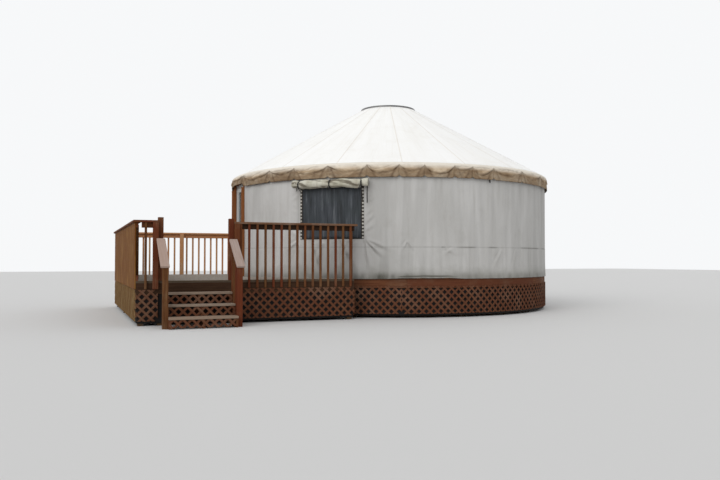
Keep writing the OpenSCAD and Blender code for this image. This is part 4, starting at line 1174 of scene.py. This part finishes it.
# Valance
# A tan band sewn to the roof cover's edge and drawn up by a cord at each gather, so that it
# hangs in swags: the cloth swells out, then tucks in along a crease from gather to gather.
VALANCE_LOW, VALANCE_FLAT, VALANCE_THICK = 2.686, 0.31, 0.0014
VALANCE_DROP, SEWN_UP = 0.26, 0.045
FIRST_GATHER, LAST_GAP, GATHER_SEED = 189.2, 18, 11
STRAP_TURN, STRAP_ACROSS = 278.68, 0.030
# The gathers as turns round the eave, as far as the eye sees them; the rest follow by chance
gathers = [FIRST_GATHER, 205.16, 215.61, 227.39, 239.55, 249.12,
           256.7, 266.09, 272.21, 280.18, 293.67, 307.76]
shuffle = random.Random(GATHER_SEED)
while gathers[-1] < FIRST_GATHER + 360 - LAST_GAP:
    gathers.append(gathers[-1] + shuffle.uniform(7.0, 13.5))
gathers.append(FIRST_GATHER + 360)


class Swag:
    """The cloth between two gathers: how deep its crease hangs, how far it swells out, and whether
    a shallower crease splits the upper swell."""

    def __init__(self, start, end):
        self.start, self.end = start, end
        self.span = math.radians(end - start) * EAVE_R
        self.deep = shuffle.uniform(0.46, 0.72) if end - start > 7 else 0.42
        self.full = shuffle.uniform(0.022, 0.030)
        self.split = shuffle.random() < 0.55
        self.seed = shuffle.uniform(0, 30)

    def crease(self, w):
        lean = w + 0.10 * math.sin(self.seed) * w * (1 - w) * 4
        return 0.07 + (self.deep - 0.07) * max(4 * lean * (1 - lean), 0) ** 0.7

    def down(self, s, w, v):
        """How far down the swell a point is, with the crease at 1."""
        return v / self.crease(w) + 0.24 * soft_noise(s * 3, v * 2, self.seed)

    def second_crease(self, q, w, width):
        return bell(q - 0.42 - 0.2 * math.sin(w * 5 + self.seed), width)


swags = [Swag(start, end) for start, end in zip(gathers, gathers[1:])]


def swag_at(turn):
    turn = (turn - gathers[0]) % 360 + gathers[0]
    swag = next(swag for swag in swags if swag.start <= turn <= swag.end)
    return swag, (turn - swag.start) / (swag.end - swag.start), turn


def swelling(q):
    """How far out the cloth stands, down from the top to the crease at 1 and past it."""
    if q < 0.72:
        return ease_in(q, -0.05, 0.72)
    if q < 1.14:
        return 1 - 0.92 * ease_in(q, 0.80, 1.14)
    return 0.08 + 0.42 * ease_in(q, 1.14, 2.2)


def valance_point(turn, v):
    """v is 0 at the eave, 1 at the hem, and less than 0 up the slope, where the band is sewn on."""
    swag, w, turn = swag_at(turn)
    if v < 0:
        r = EAVE_R + SEWN_UP * v
        return polar(r, turn, roof_height(r) + 0.0065)
    s, span = math.radians(turn) * EAVE_R, swag.span
    arch = 4 * w * (1 - w)
    q = swag.down(s, w, v)
    out = swag.full * (0.30 + 0.70 * arch ** 0.5) * swelling(q) * ease_in(v, 0, 0.06)
    if swag.split:
        out -= 0.009 * swag.second_crease(q, w, 0.11) * ease_in(arch, 0.15, 0.6)
    out += 0.006 * soft_noise(s * 9, v * 3, swag.seed + 3) * ease_in(v, 0, 0.2)
    # folds fan out from each gather
    for away in (w * span, (1 - w) * span):
        for share, deep in ((0.10, 0.008), (0.70, 0.008), (1.50, 0.006)):
            fold = bell(away - 0.015 - share * VALANCE_DROP * v, 0.010 + 0.016 * v)
            out += deep * fold * ease_in(v, 0.05, 0.35)
    # the cord lifts the hem at each gather, and the door's head lifts it over the door
    pinch = bell(w * span, 0.030) + bell((1 - w) * span, 0.030)
    out -= 0.006 * pinch * v
    low = VALANCE_LOW + 0.030 * pinch - 0.002 + 0.004 * soft_noise(s * 2, 0, swag.seed)
    low += 0.075 * between(turn, 528, 536, 547.0, 549.2)
    top = EAVE_Z + 0.003
    return polar(EAVE_R + max(out, 0.0015), turn, top + (max(low, VALANCE_LOW - 0.002) - top) * v)


def valance_shade_and_soil(turn, v):
    """Painted shade in the creases, under the swells, beside the folds at the gathers and on the hem,
    with darker patches here and there.
    """
    swag, w, turn = swag_at(turn)
    s, span = math.radians(turn) * EAVE_R, swag.span
    q = swag.down(s, w, v)
    patchy = 0.35 + 0.45 * ease_in(soft_noise(s * 2.6, 0, swag.seed + 7), -0.3, 0.35)
    # painted shade in each crease, and below it where the swell overhangs
    soil_and_shade = patchy * bell(q - 1.10, 0.20) + 0.50 * ease_in(q, 1.15, 1.5)
    for away in (w * span, (1 - w) * span):
        # painted shade beside the folds at each gather
        soil_and_shade += 0.22 * bell(away - 0.035 - 0.12 * v, 0.014 + 0.02 * v) * ease_in(v, 0.1, 0.4)
    soil_and_shade += 0.16 * ease_in(-soft_noise(s * 5, v * 2, swag.seed + 11), 0.0, 0.5)
    # painted shade in the shallower crease
    if swag.split:
        soil_and_shade += 0.35 * swag.second_crease(q, w, 0.07)
    # the hem's dark edge is painted shade too
    return min(soil_and_shade * ease_in(v, 0.02, 0.12) + 0.5 * ease_in(v, 0.95, 0.99), 1.0)


tan_canvas = Finish("valance_canvas", 0.8, rgb(178, 152, 120))
tan_canvas.shader.inputs["Specular IOR Level"].default_value = 0.3
tan_weave = tan_canvas.mark("weave")
tan_wash = tan_canvas.noise(tan_canvas.scaled(tan_weave, (2.4, 6, 0)), 1, 6, 0.6, 0.6)
tan_tone = tan_canvas.ramp(tan_wash, (0.34, rgb(156, 130, 100)), (0.5, rgb(188, 164, 134)),
                           (0.66, rgb(218, 200, 174)))
bleached_top = tan_canvas.ramp(tan_canvas.part(tan_weave, "Y"), (0.0, 1.0), (0.02, 0.9), (0.105, 0))
tan_tone = tan_canvas.mix(bleached_top, tan_tone, rgb(240, 232, 218))
# The band darkens towards dark brown where the marks say: painted shade, with some darker patches.
tan_canvas.paint(tan_canvas.mix(tan_canvas.part(tan_weave, "Z"), tan_tone, rgb(92, 70, 48)))
tan_canvas.relief(tan_canvas.sum("ADD", tan_wash, tan_canvas.threads(tan_weave, 900)), 0.0012, 0.5)

valance_across = steps((FIRST_GATHER, 312, 0.14), (312, 528, 0.34), (528, FIRST_GATHER + 360, 0.16))
valance_down = steps((-1, 0, 0.5), (0, 1, 0.042))
gathered = Cloth(valance_across, valance_down, valance_point, (math.radians(1) * EAVE_R, VALANCE_DROP),
                 closed=True, soil_and_shade=valance_shade_and_soil)
valance = gathered.piece("valance_cloth", tan_canvas.material, "trim_canvas", "valance",
                         thick=VALANCE_THICK)

# The end of the draw cord, a short black strap that hangs below the hem
strap_path = [polar(EAVE_R - 0.012 + 0.004 * k, STRAP_TURN, VALANCE_LOW + 0.030 - 0.022 * k)
              for k in range(5)]
draw_strap = Lumber()
draw_strap.loft(band(strap_path, STRAP_ACROSS, polar(1, STRAP_TURN + 90), TAPE_THICK))
draw_strap.piece("valance_strap", black_tape, "insect_mesh")


# Dome
# A dusty tinted acrylic dome screwed down on the crown through a flat rim.
# Dome and rim are one piece.
dome = Finish("dome_acrylic", 0.18, rgb(102, 102, 102))
dust = dome.noise(dome.place((3.0, 3.0, 3.0)), 1, 6, 0.65)
dome.paint(dome.ramp(dust, (0.3, rgb(78, 80, 84)), (0.7, rgb(124, 122, 120))))
dome.gloss(dust, 0.12, 0.45)
dress("skylight_dome", dome.material)


# Door
# A painted flush exterior door with a pane in its upper half, hung on three hinges in a
# stained wooden frame. It opens inwards and has a round knob on each side.
frame_wood = timber("door_frame_wood", rgb(176, 120, 74), rgb(112, 68, 40), rgb(132, 76, 46), along=2)
dress("door_frame", frame_wood, 0.004)
door_paint = Finish("door_paint", 0.42, rgb(196, 198, 196))
door_dust = door_paint.noise(door_paint.place((4, 4, 1.4)), 1, 6)
door_paint.paint(door_paint.ramp(door_dust, (0.3, rgb(184, 184, 178)), (0.7, rgb(206, 208, 206))))
door_paint.relief(door_paint.noise(door_paint.place((60, 60, 12)), 1, 3), 0.0004)
dress("door_leaf", door_paint.material, 0.002)
pane = Finish("window_pane", 0.04, rgb(196, 208, 210))
pane.gloss(pane.noise(pane.place((6, 6, 6)), 1, 3), 0.03, 0.10)
pane.shader.inputs["Transmission Weight"].default_value = 0.85
dress("door_glass", pane.material)
dress("door_handle", metal("knob_brass", 0.28, rgb(190, 152, 88), (90, 90, 90), dull=(0.2, 0.42)))
dress("door_hinges", metal("hinge_steel", 0.4, rgb(168, 168, 166), (120, 120, 120), dull=(0.3, 0.5)))
